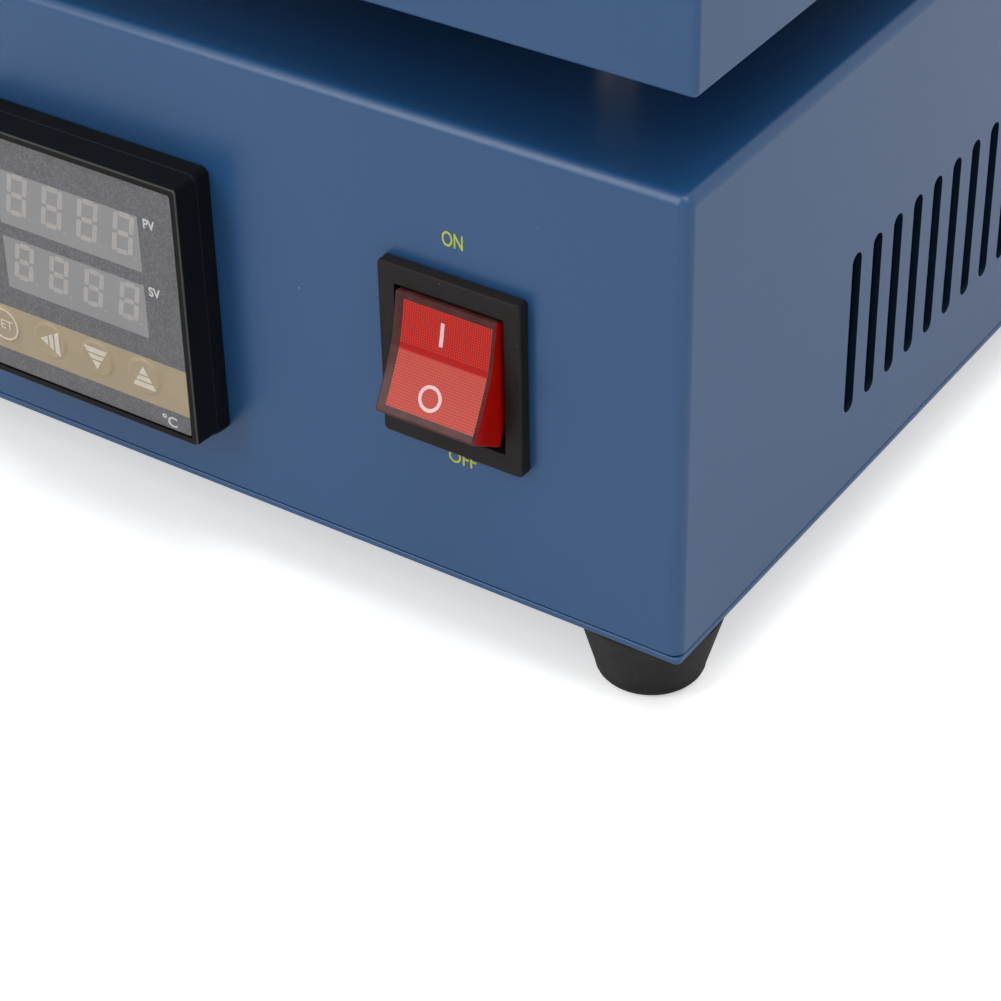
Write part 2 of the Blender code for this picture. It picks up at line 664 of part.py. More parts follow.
def make_leads(sleeve):
    start = PLATE_BACK - BORE_MOUTH + SEAT_GAP
    gap = (PLATE_BACK + TRAY_BACK) / 2
    block_back = BLOCK_Y + BLOCK_DEPTH / 2 + SEAT_GAP
    wire_z = BASE_TOP + SEAT_GAP + BLOCK_HEIGHT / 2
    for name, side in (("left", -1), ("right", 1)):
        out = side * HEATER_SPACING / 2
        line = side * LEAD_SPACING
        end = BLOCK_X + side * BLOCK_WELL_PITCH / 2
        lead(f"heater_lead_{name}", [
            (out, start, BORE_Z), (out, gap - 0.0016, BORE_Z), (out - side * 0.0022, gap, BORE_Z - 0.0003),
            (out - side * 0.010, gap, BORE_Z - 0.0010), (out - side * 0.020, gap, BORE_Z - 0.0030),
            (line + side * 0.0008, gap, PLATE_Z + 0.0012), (line, gap - 0.0012, PLATE_Z - 0.0040),
            (line, GROMMET_Y + 0.0008, TRAY_FLOOR + 0.0040), (line, GROMMET_Y, TRAY_Z - 0.0030),
            (line, GROMMET_Y, HOUSING_TOP + 0.0040), (line, GROMMET_Y, CEILING - 0.0040),
            (line - 0.0040, GROMMET_Y - 0.0010, CEILING - 0.014),
            (end + 0.0040, GROMMET_Y - 0.0030, BASE_TOP + 0.045),
            (end, GROMMET_Y - 0.0030, BASE_TOP + 0.026),
            (end, block_back + 0.0060, wire_z + 0.0030), (end, block_back + 0.0020, wire_z),
            (end, block_back, wire_z)], LEAD_RADIUS, sleeve)
    terminals_back = FRONT_Y + CASE_DEPTH + TERMINALS_PROUD + SEAT_GAP
    post_z = BASE_Z + CONTROLLER_Z + TERMINALS_HEIGHT / 4
    lead("thermocouple_lead", [
        (0, start, BORE_Z), (0, gap - 0.0022, BORE_Z - 0.0004), (0, gap - 0.0002, BORE_Z - 0.0030),
        (0, gap, PLATE_Z + 0.0015), (0, gap - 0.0014, PLATE_Z - 0.0040),
        (0, GROMMET_Y + 0.0008, TRAY_FLOOR + 0.0040), (0, GROMMET_Y, TRAY_Z - 0.0030),
        (0, GROMMET_Y, HOUSING_TOP + 0.0040), (0, GROMMET_Y - 0.0010, CEILING - 0.0040),
        (-0.0040, GROMMET_Y - 0.0090, CEILING - 0.012), (-0.016, GROMMET_Y - 0.024, CEILING - 0.020),
        (CONTROLLER_X + 0.0020, terminals_back + 0.011, post_z + 0.0060),
        (CONTROLLER_X, terminals_back + 0.0040, post_z + 0.0010),
        (CONTROLLER_X, terminals_back, post_z)], LEAD_RADIUS, sleeve)


def make_grommets(rubber):
    seats = (("tray_grommet", TRAY_Z, TRAY_SHEET), ("housing_grommet", CEILING, HOUSING_SHEET))
    for name, level, sheet in seats:
        low = -SEAT_GAP
        high = sheet + SEAT_GAP
        profile = [
            (GROMMET_BORE_RADIUS, low - GROMMET_LIP), (GROMMET_LIP_RADIUS, low - GROMMET_LIP),
            (GROMMET_LIP_RADIUS, low), (GROMMET_WAIST_RADIUS, low), (GROMMET_WAIST_RADIUS, high),
            (GROMMET_LIP_RADIUS, high), (GROMMET_LIP_RADIUS, high + GROMMET_LIP),
            (GROMMET_BORE_RADIUS, high + GROMMET_LIP)]
        add_object(name, turned(profile), rubber, (0, GROMMET_Y, level))


def make_terminal_block(ceramic):
    low = BASE_TOP + SEAT_GAP
    top = low + BLOCK_HEIGHT
    body = block(around(BLOCK_X, BLOCK_WIDTH), around(BLOCK_Y, BLOCK_DEPTH), (low, top))
    piece = add_object("terminal_block", body, ceramic)
    join(piece, *[rod(BLOCK_PEG_RADIUS, BASE_Z - BLOCK_PEG_RADIUS, low + BLOCK_PEG_RADIUS, place)
                  for place in peg_places()])
    wells = [rod(BLOCK_WELL_RADIUS, top - BLOCK_WELL_DEPTH, top + BLOCK_WELL_DEPTH,
                 (BLOCK_X + side * BLOCK_WELL_PITCH / 2, BLOCK_Y + row * BLOCK_DEPTH / 4))
             for side in (-1, 1) for row in (-1, 1)]
    cut(piece, merged(wells))


def make_relay(plastic, steel):
    low = BASE_TOP + SEAT_GAP
    ear = low + RELAY_EAR_HEIGHT
    top = low + RELAY_HEIGHT
    half = RELAY_LENGTH / 2
    body = half - RELAY_EAR_LENGTH
    outline = [(-half, low), (half, low), (half, ear), (body, ear), (body, top), (-body, top), (-body, ear),
               (-half, ear)]
    body_shape = prism(shifted(outline, RELAY_Y, 0), *around(RELAY_X, RELAY_WIDTH), "X")
    piece = add_object("solid_state_relay", body_shape, plastic)
    wells = [rod(RELAY_WELL_RADIUS, top - RELAY_WELL_DEPTH, top + RELAY_WELL_DEPTH,
                 (RELAY_X + side * RELAY_WIDTH / 3.4, RELAY_Y + row * body * 0.7))
             for side in (-1, 1) for row in (-1, 1)]
    cut(piece, merged([holes(relay_screw_places(), RELAY_SCREW_RADIUS, low - RELAY_EAR_HEIGHT,
                             ear + RELAY_SCREW_TAIL), *wells]))
    seat = BASE_Z - SEAT_GAP
    for number, (x, y) in enumerate(relay_screw_places(), start=1):
        add_object(f"relay_screw_{number}",
                   screw(RELAY_SCREW_HEAD_RADIUS, RELAY_SCREW_HEAD, RELAY_SCREW_RADIUS,
                         ear + RELAY_SCREW_TAIL - seat), steel, (x, y, seat))


def in_front(out):
    """World Y of a plane that stands this far in front of the front panel."""
    return FRONT_Y - out


def key_places():
    return [(CONTROLLER_X + KEY_FIRST_X - number * KEY_PITCH, CONTROLLER_MIDDLE[1] + KEY_Z)
            for number in range(KEY_COUNT)]


def make_controller_front(plastic, lens_plastic, display_plastic, board, key_plastic):
    def face(inset, corner):
        side = CONTROLLER_SIZE - 2 * inset
        return shifted(oblong(side, side, corner), *CONTROLLER_MIDDLE)

    ridge = CONTROLLER_RIDGE_OUT + CONTROLLER_DRAFT
    bezel = add_object("controller_bezel", loft([
        (face(0, CONTROLLER_CORNER), in_front(SEAT_GAP)),
        (face(0, CONTROLLER_CORNER), in_front(CONTROLLER_RIDGE_OUT)),
        (face(CONTROLLER_DRAFT / 2, CONTROLLER_CORNER), in_front(ridge)),
        (face(CONTROLLER_DRAFT, CONTROLLER_CORNER / 2), in_front(CONTROLLER_OUT))], "Y"), plastic)
    ledge = CONTROLLER_OUT - LENS_RECESS - LENS_THICKNESS - SEAT_GAP
    window = CONTROLLER_SIZE - 2 * CONTROLLER_DRAFT - 2 * CONTROLLER_RIM
    inner = CONTROLLER_SIZE - 2 * CONTROLLER_LEDGE
    corner = CONTROLLER_CORNER / 2
    cut(bezel,
        panel_block(CONTROLLER_MIDDLE, window, window, LENS_CORNER, in_front(ledge),
                    in_front(2 * CONTROLLER_OUT)),
        panel_block(CONTROLLER_MIDDLE, inner, inner, corner, in_front(-CONTROLLER_OUT),
                    in_front(CONTROLLER_OUT)))

    pane = window - 2 * FIT_GAP
    lens_front = CONTROLLER_OUT - LENS_RECESS
    lens_back = lens_front - LENS_THICKNESS
    sheet = panel_block(CONTROLLER_MIDDLE, pane, pane, LENS_CORNER, in_front(lens_back),
                        in_front(lens_front))
    lens = add_object("controller_lens", sheet, lens_plastic)
    cut(lens, merged([rod(KEY_RADIUS + FIT_GAP, in_front(2 * lens_front), in_front(0), place, "Y")
                      for place in key_places()]))

    shelf = lens_back - SEAT_GAP
    for name, offset in (("pv_display", PV_Z), ("sv_display", SV_Z)):
        add_object(name, block(around(CONTROLLER_X + DISPLAY_X, DISPLAY_WIDTH),
                               (in_front(shelf), in_front(shelf - DISPLAY_DEPTH)),
                               around(CONTROLLER_MIDDLE[1] + offset, DISPLAY_HEIGHT)), display_plastic)
    side = inner - 2 * FIT_GAP
    board_front = shelf - DISPLAY_DEPTH - SEAT_GAP
    board_back = board_front - DISPLAY_BOARD_SHEET
    add_object("display_board", panel_block(CONTROLLER_MIDDLE, side, side, corner, in_front(board_back),
                                            in_front(board_front)), board)

    key_back = board_front + KEY_TRAVEL + SEAT_GAP
    key_front = lens_front + KEY_PROUD
    names = ("key_up", "key_down", "key_shift", "key_set")
    dome = KEY_RADIUS / 8
    for name, (x, z) in zip(names, key_places()):
        cap = turned([(0, 0), (KEY_RADIUS, 0), (KEY_RADIUS, key_front - key_back - dome),
                      (KEY_RADIUS - dome, key_front - key_back), (0, key_front - key_back)])
        add_object(name, faced_back(cap), key_plastic, (x, in_front(key_back), z))


def make_controller_case(plastic, board, core):
    middle_z = CONTROLLER_MIDDLE[1]
    back = FRONT_Y + CASE_DEPTH
    case = add_object("controller_case", panel_block(CONTROLLER_MIDDLE, CASE_SIZE, CASE_SIZE, CASE_WALL / 2,
                                                     FRONT_Y, back), plastic)
    room = CASE_SIZE - 2 * CASE_WALL
    cut(case,
        block(around(CONTROLLER_X, room), (FRONT_Y - CASE_WALL, back - CASE_WALL), around(middle_z, room)),
        block(around(CONTROLLER_X, TERMINALS_WIDTH + 2 * FIT_GAP), (back - 2 * CASE_WALL, back + CASE_WALL),
              around(middle_z, TERMINALS_HEIGHT + 2 * FIT_GAP)))

    terminals_back = back + TERMINALS_PROUD
    terminals_front = terminals_back - TERMINALS_DEPTH
    terminals = add_object("rear_terminals", block(around(CONTROLLER_X, TERMINALS_WIDTH),
                                                   (terminals_front, terminals_back),
                                                   around(middle_z, TERMINALS_HEIGHT)), plastic)
    half_row = TERMINAL_WELL_COUNT // 2
    wells = [block(around(CONTROLLER_X + number * TERMINAL_WELL_PITCH, TERMINAL_WELL_SIZE),
                   (terminals_back - TERMINAL_WELL_DEPTH, terminals_back + CASE_WALL),
                   around(middle_z + row * TERMINALS_HEIGHT / 4, TERMINAL_WELL_SIZE))
             for number in range(-half_row, half_row + 1) if number != 0 for row in (-1, 1)]
    cut(terminals, merged(wells))

    board_room = room - 2 * FIT_GAP
    board_x = around(CONTROLLER_X + MAIN_BOARD_X, MAIN_BOARD_SHEET)
    add_object("main_board", block(board_x, (FRONT_Y + MAIN_BOARD_INSET, terminals_front - SEAT_GAP),
                                   around(middle_z, board_room)), board)
    core_side = board_x[0] - SEAT_GAP
    core_front = FRONT_Y + TRANSFORMER_INSET
    add_object("transformer", block((core_side - TRANSFORMER_WIDTH, core_side),
                                    (core_front, core_front + TRANSFORMER_LENGTH),
                                    around(middle_z, TRANSFORMER_HEIGHT)), core)

    clip_front = FRONT_Y + HOUSING_SHEET + SEAT_GAP
    inner = CASE_SIZE + 2 * FIT_GAP
    outer = inner + 2 * CLIP_WALL
    clip = add_object("mounting_clip", panel_block(CONTROLLER_MIDDLE, outer, outer, CLIP_WALL, clip_front,
                                                   clip_front + CLIP_DEPTH), plastic)
    cut(clip, panel_block(CONTROLLER_MIDDLE, inner, inner, CASE_WALL / 2, clip_front - CLIP_DEPTH,
                          clip_front + 2 * CLIP_DEPTH))


def tab_places():
    return [(SWITCH_X + side * TAB_SPACING_X / 2, SWITCH_MIDDLE[1] + row * TAB_SPACING_Z / 2)
            for row in (1, -1) for side in (-1, 1)]


def make_switch_body(plastic, brass):
    def frame(inset):
        width = SWITCH_FLANGE_WIDTH - 2 * inset
        height = SWITCH_FLANGE_HEIGHT - 2 * inset
        return shifted(oblong(width, height, SWITCH_FLANGE_CORNER, 2), *SWITCH_MIDDLE)

    layers = [(frame(0), in_front(SEAT_GAP)), (frame(SWITCH_FLANGE_DRAFT), in_front(SWITCH_FLANGE_OUT))]
    body = add_object("switch_body", loft(layers, "Y"), plastic)
    back = FRONT_Y + SWITCH_BODY_DEPTH
    join(body, panel_block(SWITCH_MIDDLE, SWITCH_BODY_WIDTH, SWITCH_BODY_HEIGHT, SWITCH_FLANGE_CORNER,
                           in_front(SWITCH_FLANGE_OUT / 2), back))
    mouth = block(around(SWITCH_X, SWITCH_MOUTH_WIDTH),
                  (in_front(2 * SWITCH_FLANGE_OUT), FRONT_Y + SWITCH_MOUTH_DEPTH),
                  around(SWITCH_MIDDLE[1], SWITCH_MOUTH_HEIGHT))
    pivot = rod(PIVOT_RADIUS + FIT_GAP, SWITCH_X - SWITCH_BODY_WIDTH, SWITCH_X + SWITCH_BODY_WIDTH,
                (FRONT_Y + PIVOT_BACK, SWITCH_MIDDLE[1]), "X")
    cut(body, mouth)
    cut(body, pivot)
    inside = back - TAB_INSIDE
    cut(body, merged([block(around(x, TAB_WIDTH + 2 * FIT_GAP), (inside - FIT_GAP, back + TAB_INSIDE),
                            around(z, TAB_SHEET + 2 * FIT_GAP)) for x, z in tab_places()]))
    for number, (x, z) in enumerate(tab_places(), start=1):
        add_object(f"switch_terminal_{number}", block(around(x, TAB_WIDTH), (inside, back + TAB_OUTSIDE),
                                                      around(z, TAB_SHEET)), brass)


def make_switch_rocker(plastic):
    """The rocker at rest: its upper end, marked I, is pressed in."""
    dish = ROCKER_RISE - ROCKER_VALLEY / 2 - ROCKER_DISH
    end = [(ROCKER_RISE, ROCKER_HALF_LENGTH), (-ROCKER_HEEL, ROCKER_HEEL_REACH),
           (-ROCKER_HEEL, ROCKER_WEB), (-ROCKER_HUB, ROCKER_HUB)]
    outline = [(ROCKER_RISE - ROCKER_VALLEY, ROCKER_VALLEY_UP),
               (dish, (ROCKER_VALLEY_UP + ROCKER_HALF_LENGTH) / 2), *end,
               *[(out, -up) for out, up in reversed(end)],
               (dish, (ROCKER_VALLEY_UP - ROCKER_HALF_LENGTH) / 2)]
    turn = [(-(out * math.cos(ROCKER_TILT) - up * math.sin(ROCKER_TILT)),
             out * math.sin(ROCKER_TILT) + up * math.cos(ROCKER_TILT)) for out, up in outline]
    place = (SWITCH_X, FRONT_Y + PIVOT_BACK, SWITCH_MIDDLE[1])
    rocker = add_object("switch_rocker", prism(turn, *around(0, ROCKER_WIDTH), "X"), plastic, place)
    pin = SWITCH_MOUTH_WIDTH + 2 * PIVOT_REACH
    join(rocker, rod(PIVOT_RADIUS, *around(0, pin), axis="X"), place=place)


def make_inlet(plastic, brass, steel):
    face = REAR_Y + SEAT_GAP
    rear = face + INLET_FLANGE
    flange = panel_block(INLET_MIDDLE, INLET_FLANGE_WIDTH, INLET_FLANGE_HEIGHT, INLET_FLANGE_CORNER,
                         face, rear, BEND_STEPS)
    inlet = add_object("inlet_body", flange, plastic)
    depth = REAR_Y - INLET_BODY_DEPTH
    join(inlet, panel_block(INLET_MIDDLE, INLET_BODY_WIDTH, INLET_BODY_HEIGHT, HOUSING_SHEET, depth,
                            face + INLET_FLANGE / 2))
    half_x = INLET_MOUTH_WIDTH / 2
    half_z = INLET_MOUTH_HEIGHT / 2
    socket = [(-half_x, -half_z), (half_x, -half_z), (half_x, half_z - INLET_MOUTH_BEVEL),
              (half_x - INLET_MOUTH_BEVEL, half_z), (INLET_MOUTH_BEVEL - half_x, half_z),
              (-half_x, half_z - INLET_MOUTH_BEVEL)]
    floor = rear - INLET_MOUTH_DEPTH
    cut(inlet, prism(shifted(socket, *INLET_MIDDLE), floor, rear + INLET_FLANGE, "Y"))
    places = [("line", -1, -PIN_OFFSET), ("earth", 0, PIN_OFFSET), ("neutral", 1, -PIN_OFFSET)]
    slots = []
    for name, side, rise in places:
        x = INLET_X + side * PIN_SPACING / 2
        z = INLET_MIDDLE[1] + rise
        slots.append(block(around(x, PIN_WIDTH + 2 * FIT_GAP), (depth - PIN_TAIL, floor + PIN_LENGTH),
                           around(z, PIN_HEIGHT + 2 * FIT_GAP)))
        add_object(f"inlet_pin_{name}", block(around(x, PIN_WIDTH), (depth - PIN_TAIL, floor + PIN_LENGTH),
                                              around(z, PIN_HEIGHT)), brass)
    cut(inlet, merged([*slots, inlet_screw_holes(REAR_Y - HOUSING_SHEET, rear + INLET_FLANGE)]))
    seat = rear + SEAT_GAP
    for name, side in (("left", -1), ("right", 1)):
        shank = screw(INLET_SCREW_HEAD_RADIUS, INLET_SCREW_HEAD, INLET_SCREW_RADIUS, INLET_SCREW_LENGTH)
        add_object(f"inlet_screw_{name}", faced_back(shank), steel,
                   (INLET_X + side * INLET_SCREW_SPACING / 2, seat, INLET_MIDDLE[1]))


def clear_scene():
    for item in list(bpy.data.objects):
        bpy.data.objects.remove(item, do_unlink=True)


def build():
    clear_scene()
    blue_paint = finish("blue_paint", (0.055, 0.125, 0.240), 0.42)
    black_rubber = finish("black_rubber", (0.020, 0.020, 0.021), 0.65)
    steel = finish("zinc_steel", (0.55, 0.55, 0.54), 0.35, 1.0)
    aluminium = finish("blasted_aluminium", (0.62, 0.63, 0.64), 0.45, 1.0)
    fibre = finish("ceramic_fibre", (0.80, 0.78, 0.72), 0.95)
    sleeve = finish("glass_sleeve", (0.78, 0.74, 0.64), 0.90)
    ceramic = finish("glazed_ceramic", (0.82, 0.80, 0.76), 0.25)
    black_plastic = finish("black_plastic", (0.018, 0.018, 0.019), 0.45)
    lens_plastic = finish("lens_film", (0.100, 0.100, 0.108), 0.35)
    display_plastic = finish("display_face", (0.230, 0.230, 0.235), 0.30)
    board = finish("circuit_board", (0.030, 0.160, 0.070), 0.50)
    key_film = finish("key_film", (0.380, 0.300, 0.195), 0.40)
    core = finish("laminated_core", (0.120, 0.115, 0.105), 0.60)
    brass = finish("tinned_brass", (0.62, 0.56, 0.40), 0.30, 1.0)
    red_plastic = finish("red_plastic", (0.600, 0.030, 0.020), 0.25)

    make_control_housing(blue_paint)
    make_base_plate(blue_paint)
    make_feet(black_rubber, steel)
    make_posts(steel, steel)
    make_guard_tray(blue_paint)
    make_insulation_board(fibre)
    make_heating_plate(aluminium)
    make_heaters(steel)
    make_leads(sleeve)
    make_grommets(black_rubber)
    make_terminal_block(ceramic)
    make_relay(black_plastic, steel)
    make_controller_front(black_plastic, lens_plastic, display_plastic, board, key_film)
    make_controller_case(black_plastic, board, core)
    make_switch_body(black_plastic, brass)
    make_switch_rocker(red_plastic)
    make_inlet(black_plastic, brass, steel)


build()
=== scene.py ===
import json
import math

import bmesh
import bpy
from mathutils import Matrix, Vector


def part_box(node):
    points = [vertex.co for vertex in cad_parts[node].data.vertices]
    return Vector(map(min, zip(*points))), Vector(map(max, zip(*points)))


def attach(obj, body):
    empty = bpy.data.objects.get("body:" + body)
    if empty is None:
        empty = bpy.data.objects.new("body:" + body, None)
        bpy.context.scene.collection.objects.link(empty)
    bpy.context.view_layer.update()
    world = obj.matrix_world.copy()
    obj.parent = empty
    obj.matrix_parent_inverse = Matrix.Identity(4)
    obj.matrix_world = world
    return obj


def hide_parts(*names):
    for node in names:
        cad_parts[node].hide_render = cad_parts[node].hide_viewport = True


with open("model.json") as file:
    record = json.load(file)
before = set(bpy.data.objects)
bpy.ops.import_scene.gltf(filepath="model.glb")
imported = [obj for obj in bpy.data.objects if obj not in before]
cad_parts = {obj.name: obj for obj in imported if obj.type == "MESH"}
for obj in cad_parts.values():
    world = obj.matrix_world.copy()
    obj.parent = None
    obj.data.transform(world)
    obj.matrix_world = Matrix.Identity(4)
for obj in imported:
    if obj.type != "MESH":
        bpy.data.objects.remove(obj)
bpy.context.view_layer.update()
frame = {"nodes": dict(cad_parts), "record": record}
mm = 0.001
weld = 0.002 * mm

housingLow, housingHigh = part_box("control_housing")
frontY, rearY = housingLow.y, housingHigh.y
middleY = (frontY + rearY) / 2
lensLow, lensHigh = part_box("controller_lens")
lensY = lensLow.y
controllerX = (lensLow.x + lensHigh.x) / 2
controllerZ = (lensLow.z + lensHigh.z) / 2
switchLow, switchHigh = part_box("switch_body")
switchX = (switchLow.x + switchHigh.x) / 2
switchZ = (switchLow.z + switchHigh.z) / 2
postLow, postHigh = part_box("standoff_front_right")
postInset = housingHigh.x - (postLow.x + postHigh.x) / 2
footInset = 12.1 * mm
print("frame loaded")


# ---- shaping ----

def newBox(low, high):
    bm = bmesh.new()
    bmesh.ops.create_cube(bm, size=1.0)
    low, high = Vector(low), Vector(high)
    bmesh.ops.scale(bm, vec=high - low, verts=bm.verts)
    bmesh.ops.translate(bm, vec=(low + high) / 2, verts=bm.verts)
    return bm


def roundOff(bm, width, segments, chosen):
    bmesh.ops.bevel(bm, geom=[edge for edge in bm.edges if chosen(edge)], offset=width, offset_type="OFFSET",
                    segments=segments, profile=0.5, affect="EDGES", clamp_overlap=True, material=-1)


def along(axis):  # edges that run along one axis
    def chosen(edge):
        way = (edge.verts[1].co - edge.verts[0].co).normalized()
        return abs(way[axis]) > 0.99
    return chosen


def level(axis, height):  # edges that lie in one plane
    return lambda edge: all(abs(vert.co[axis] - height) < 0.01 * mm for vert in edge.verts)


def keen(angle):  # edges sharper than this
    return lambda edge: len(edge.link_faces) == 2 and edge.calc_face_angle(0) > math.radians(angle)


def joined(parts):
    whole = bmesh.new()
    for part in parts:
        carrier = bpy.data.meshes.new("carrier")
        part.to_mesh(carrier)
        part.free()
        whole.from_mesh(carrier)
        bpy.data.meshes.remove(carrier)
    return whole


def shapeObject(name, bm):
    bmesh.ops.recalc_face_normals(bm, faces=bm.faces)
    mesh = bpy.data.meshes.new(name)
    bm.to_mesh(mesh)
    bm.free()
    thing = bpy.data.objects.new(name, mesh)
    bpy.context.scene.collection.objects.link(thing)
    return thing


def cutAway(bm, *cutters):  # one boolean for each cutter
    solid = shapeObject("solid", bm)
    tools = [shapeObject("cutter", cutter) for cutter in cutters]
    for tool in tools:
        step = solid.modifiers.new("cut", "BOOLEAN")
        step.operation = "DIFFERENCE"
        step.solver = "EXACT"
        step.object = tool
    result = bmesh.new()
    result.from_object(solid, bpy.context.evaluated_depsgraph_get())
    for thing in (solid, *tools):
        bpy.data.objects.remove(thing)
    bmesh.ops.remove_doubles(result, verts=result.verts, dist=weld)
    bmesh.ops.dissolve_degenerate(result, edges=result.edges, dist=weld)
    return result


def newRod(radius, near, far, centre, axis=2, segments=32):  # centre is given across the axis
    bm = bmesh.new()
    bmesh.ops.create_cone(bm, cap_ends=True, segments=segments, radius1=radius, radius2=radius, depth=far - near)
    bmesh.ops.translate(bm, vec=(0, 0, (near + far) / 2), verts=bm.verts)
    turns = {0: Matrix.Rotation(math.pi / 2, 3, "Y"), 1: Matrix.Rotation(-math.pi / 2, 3, "X"),
             2: Matrix.Identity(3)}
    bmesh.ops.transform(bm, matrix=turns[axis].to_4x4(), verts=bm.verts)
    where = list(centre)
    where.insert(axis, 0)
    bmesh.ops.translate(bm, vec=where, verts=bm.verts)
    return bm


def newPanel(centre, width, height, corner, near, far, segments=4):  # slab facing the front, centre is (x, z)
    bm = newBox((centre[0] - width / 2, near, centre[1] - height / 2),
                (centre[0] + width / 2, far, centre[1] + height / 2))
    if corner:
        roundOff(bm, corner, segments, along(1))
    return bm


def lathe(profile, centre, axis="Z", steps=48):  # profile of (radius, height) points
    bm = bmesh.new()
    verts = [bm.verts.new((radius, 0, height)) for radius, height in profile]
    edges = [bm.edges.new(pair) for pair in zip(verts, verts[1:])]
    bmesh.ops.spin(bm, geom=verts + edges, cent=(0, 0, 0), axis=(0, 0, 1), dvec=(0, 0, 0),
                   angle=2 * math.pi, steps=steps, use_merge=True, use_duplicate=False)
    bmesh.ops.remove_doubles(bm, verts=bm.verts, dist=weld)
    if axis == "Y":  # height then runs towards the front
        bmesh.ops.rotate(bm, verts=bm.verts, cent=(0, 0, 0), matrix=Matrix.Rotation(math.pi / 2, 3, "X"))
    bmesh.ops.translate(bm, vec=centre, verts=bm.verts)
    return bm


def softCopy(node, width, segments=2, angle=35):  # a CAD node's shape with its edges eased
    bm = bmesh.new()
    bm.from_mesh(frame["nodes"][node].data)
    bmesh.ops.remove_doubles(bm, verts=bm.verts, dist=weld)
    bmesh.ops.dissolve_limit(bm, angle_limit=math.radians(1), verts=bm.verts, edges=bm.edges)
    if width:
        roundOff(bm, width, segments, keen(angle))
    return bm


def addPiece(name, bm, finish, body="preheater", standsFor=(), angle=32, weighted=True):
    piece = shapeObject(name, bm)
    piece.data.shade_smooth()
    piece.data.set_sharp_from_angle(angle=math.radians(angle))
    for item in finish if isinstance(finish, (list, tuple)) else [finish]:
        piece.data.materials.append(item)
    if weighted:
        normals = piece.modifiers.new("evenNormals", "WEIGHTED_NORMAL")
        normals.keep_sharp = True
    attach(piece, body)
    if standsFor:
        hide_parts(*([standsFor] if isinstance(standsFor, str) else standsFor))
    return piece


def flatRing(radius, width, thick, segments):
    ring = bmesh.new()
    bmesh.ops.create_circle(ring, cap_ends=True, segments=segments, radius=radius)
    bmesh.ops.inset_region(ring, faces=ring.faces[:], thickness=width, use_boundary=True, use_even_offset=True)
    bmesh.ops.delete(ring, geom=[face for face in ring.faces if len(face.verts) > 4], context="FACES")
    grown = bmesh.ops.extrude_face_region(ring, geom=ring.faces[:])
    bmesh.ops.translate(ring, vec=(0, 0, thick),
                        verts=[item for item in grown["geom"] if isinstance(item, bmesh.types.BMVert)])
    return ring


# flat words, fitted into (width, height)
def lettering(words, centre, size, planeY, thick=0.03 * mm, bold=0.0):
    curve = bpy.data.curves.new("words", "FONT")
    curve.body = words
    curve.size = 1.0
    curve.extrude = 0.01
    curve.offset = bold
    writer = bpy.data.objects.new("words", curve)
    bpy.context.scene.collection.objects.link(writer)
    mesh = bpy.data.meshes.new_from_object(writer.evaluated_get(bpy.context.evaluated_depsgraph_get()))
    bm = bmesh.new()
    bm.from_mesh(mesh)
    bpy.data.objects.remove(writer)
    bpy.data.meshes.remove(mesh)
    bmesh.ops.remove_doubles(bm, verts=bm.verts, dist=0.0001)
    low = Vector([min(vert.co[axis] for vert in bm.verts) for axis in range(3)])
    high = Vector([max(vert.co[axis] for vert in bm.verts) for axis in range(3)])
    span = high - low
    bmesh.ops.translate(bm, vec=-(low + high) / 2, verts=bm.verts)
    bmesh.ops.scale(bm, vec=(size[0] / span.x, size[1] / span.y, thick / span.z), verts=bm.verts)
    bmesh.ops.rotate(bm, verts=bm.verts, cent=(0, 0, 0), matrix=Matrix.Rotation(math.pi / 2, 3, "X"))
    bmesh.ops.translate(bm, vec=(centre[0], planeY - thick / 2, centre[1]), verts=bm.verts)
    return bm


# ---- finishes ----

def newFinish(name):
    finish = bpy.data.materials.new(name)
    finish.use_nodes = True
    tree = finish.node_tree
    return finish, tree, tree.nodes["Principled BSDF"]


def scaledCoords(tree, scale):
    coords = tree.nodes.new("ShaderNodeTexCoord")
    mapping = tree.nodes.new("ShaderNodeMapping")
    mapping.inputs["Scale"].default_value = scale if hasattr(scale, "__len__") else (scale, scale, scale)
    tree.links.new(coords.outputs["Object"], mapping.inputs["Vector"])
    return mapping.outputs["Vector"]


def noise(tree, size, stretch=(1, 1, 1), detail=3.0, roughness=0.55):  # size is one blob across, in metres
    vector = scaledCoords(tree, [1 / (size * part) for part in stretch])
    texture = tree.nodes.new("ShaderNodeTexNoise")
    texture.inputs["Scale"].default_value = 1.0
    texture.inputs["Detail"].default_value = detail
    texture.inputs["Roughness"].default_value = roughness
    tree.links.new(vector, texture.inputs["Vector"])
    return texture.outputs["Fac"]


def remap(tree, value, fromLow, fromHigh, toLow=0.0, toHigh=1.0):
    node = tree.nodes.new("ShaderNodeMapRange")
    for name, number in zip(("From Min", "From Max", "To Min", "To Max"), (fromLow, fromHigh, toLow, toHigh)):
        node.inputs[name].default_value = number
    tree.links.new(value, node.inputs["Value"])
    return node.outputs["Result"]


def maths(tree, operation, first, second=None):
    node = tree.nodes.new("ShaderNodeMath")
    node.operation = operation
    for socket, value in zip(node.inputs, (first, second)):
        if isinstance(value, bpy.types.NodeSocket):
            tree.links.new(value, socket)
        elif value is not None:
            socket.default_value = value
    return node.outputs["Value"]


def blendColours(tree, share, first, second):
    node = tree.nodes.new("ShaderNodeMix")
    node.data_type = "RGBA"
    for name, value in (("Factor", share), ("A", first), ("B", second)):
        sockets = [item for item in node.inputs if item.name == name and item.enabled]
        if isinstance(value, bpy.types.NodeSocket):
            tree.links.new(value, sockets[0])
        else:
            sockets[0].default_value = (*value, 1.0)
    return [item for item in node.outputs if item.enabled][0]


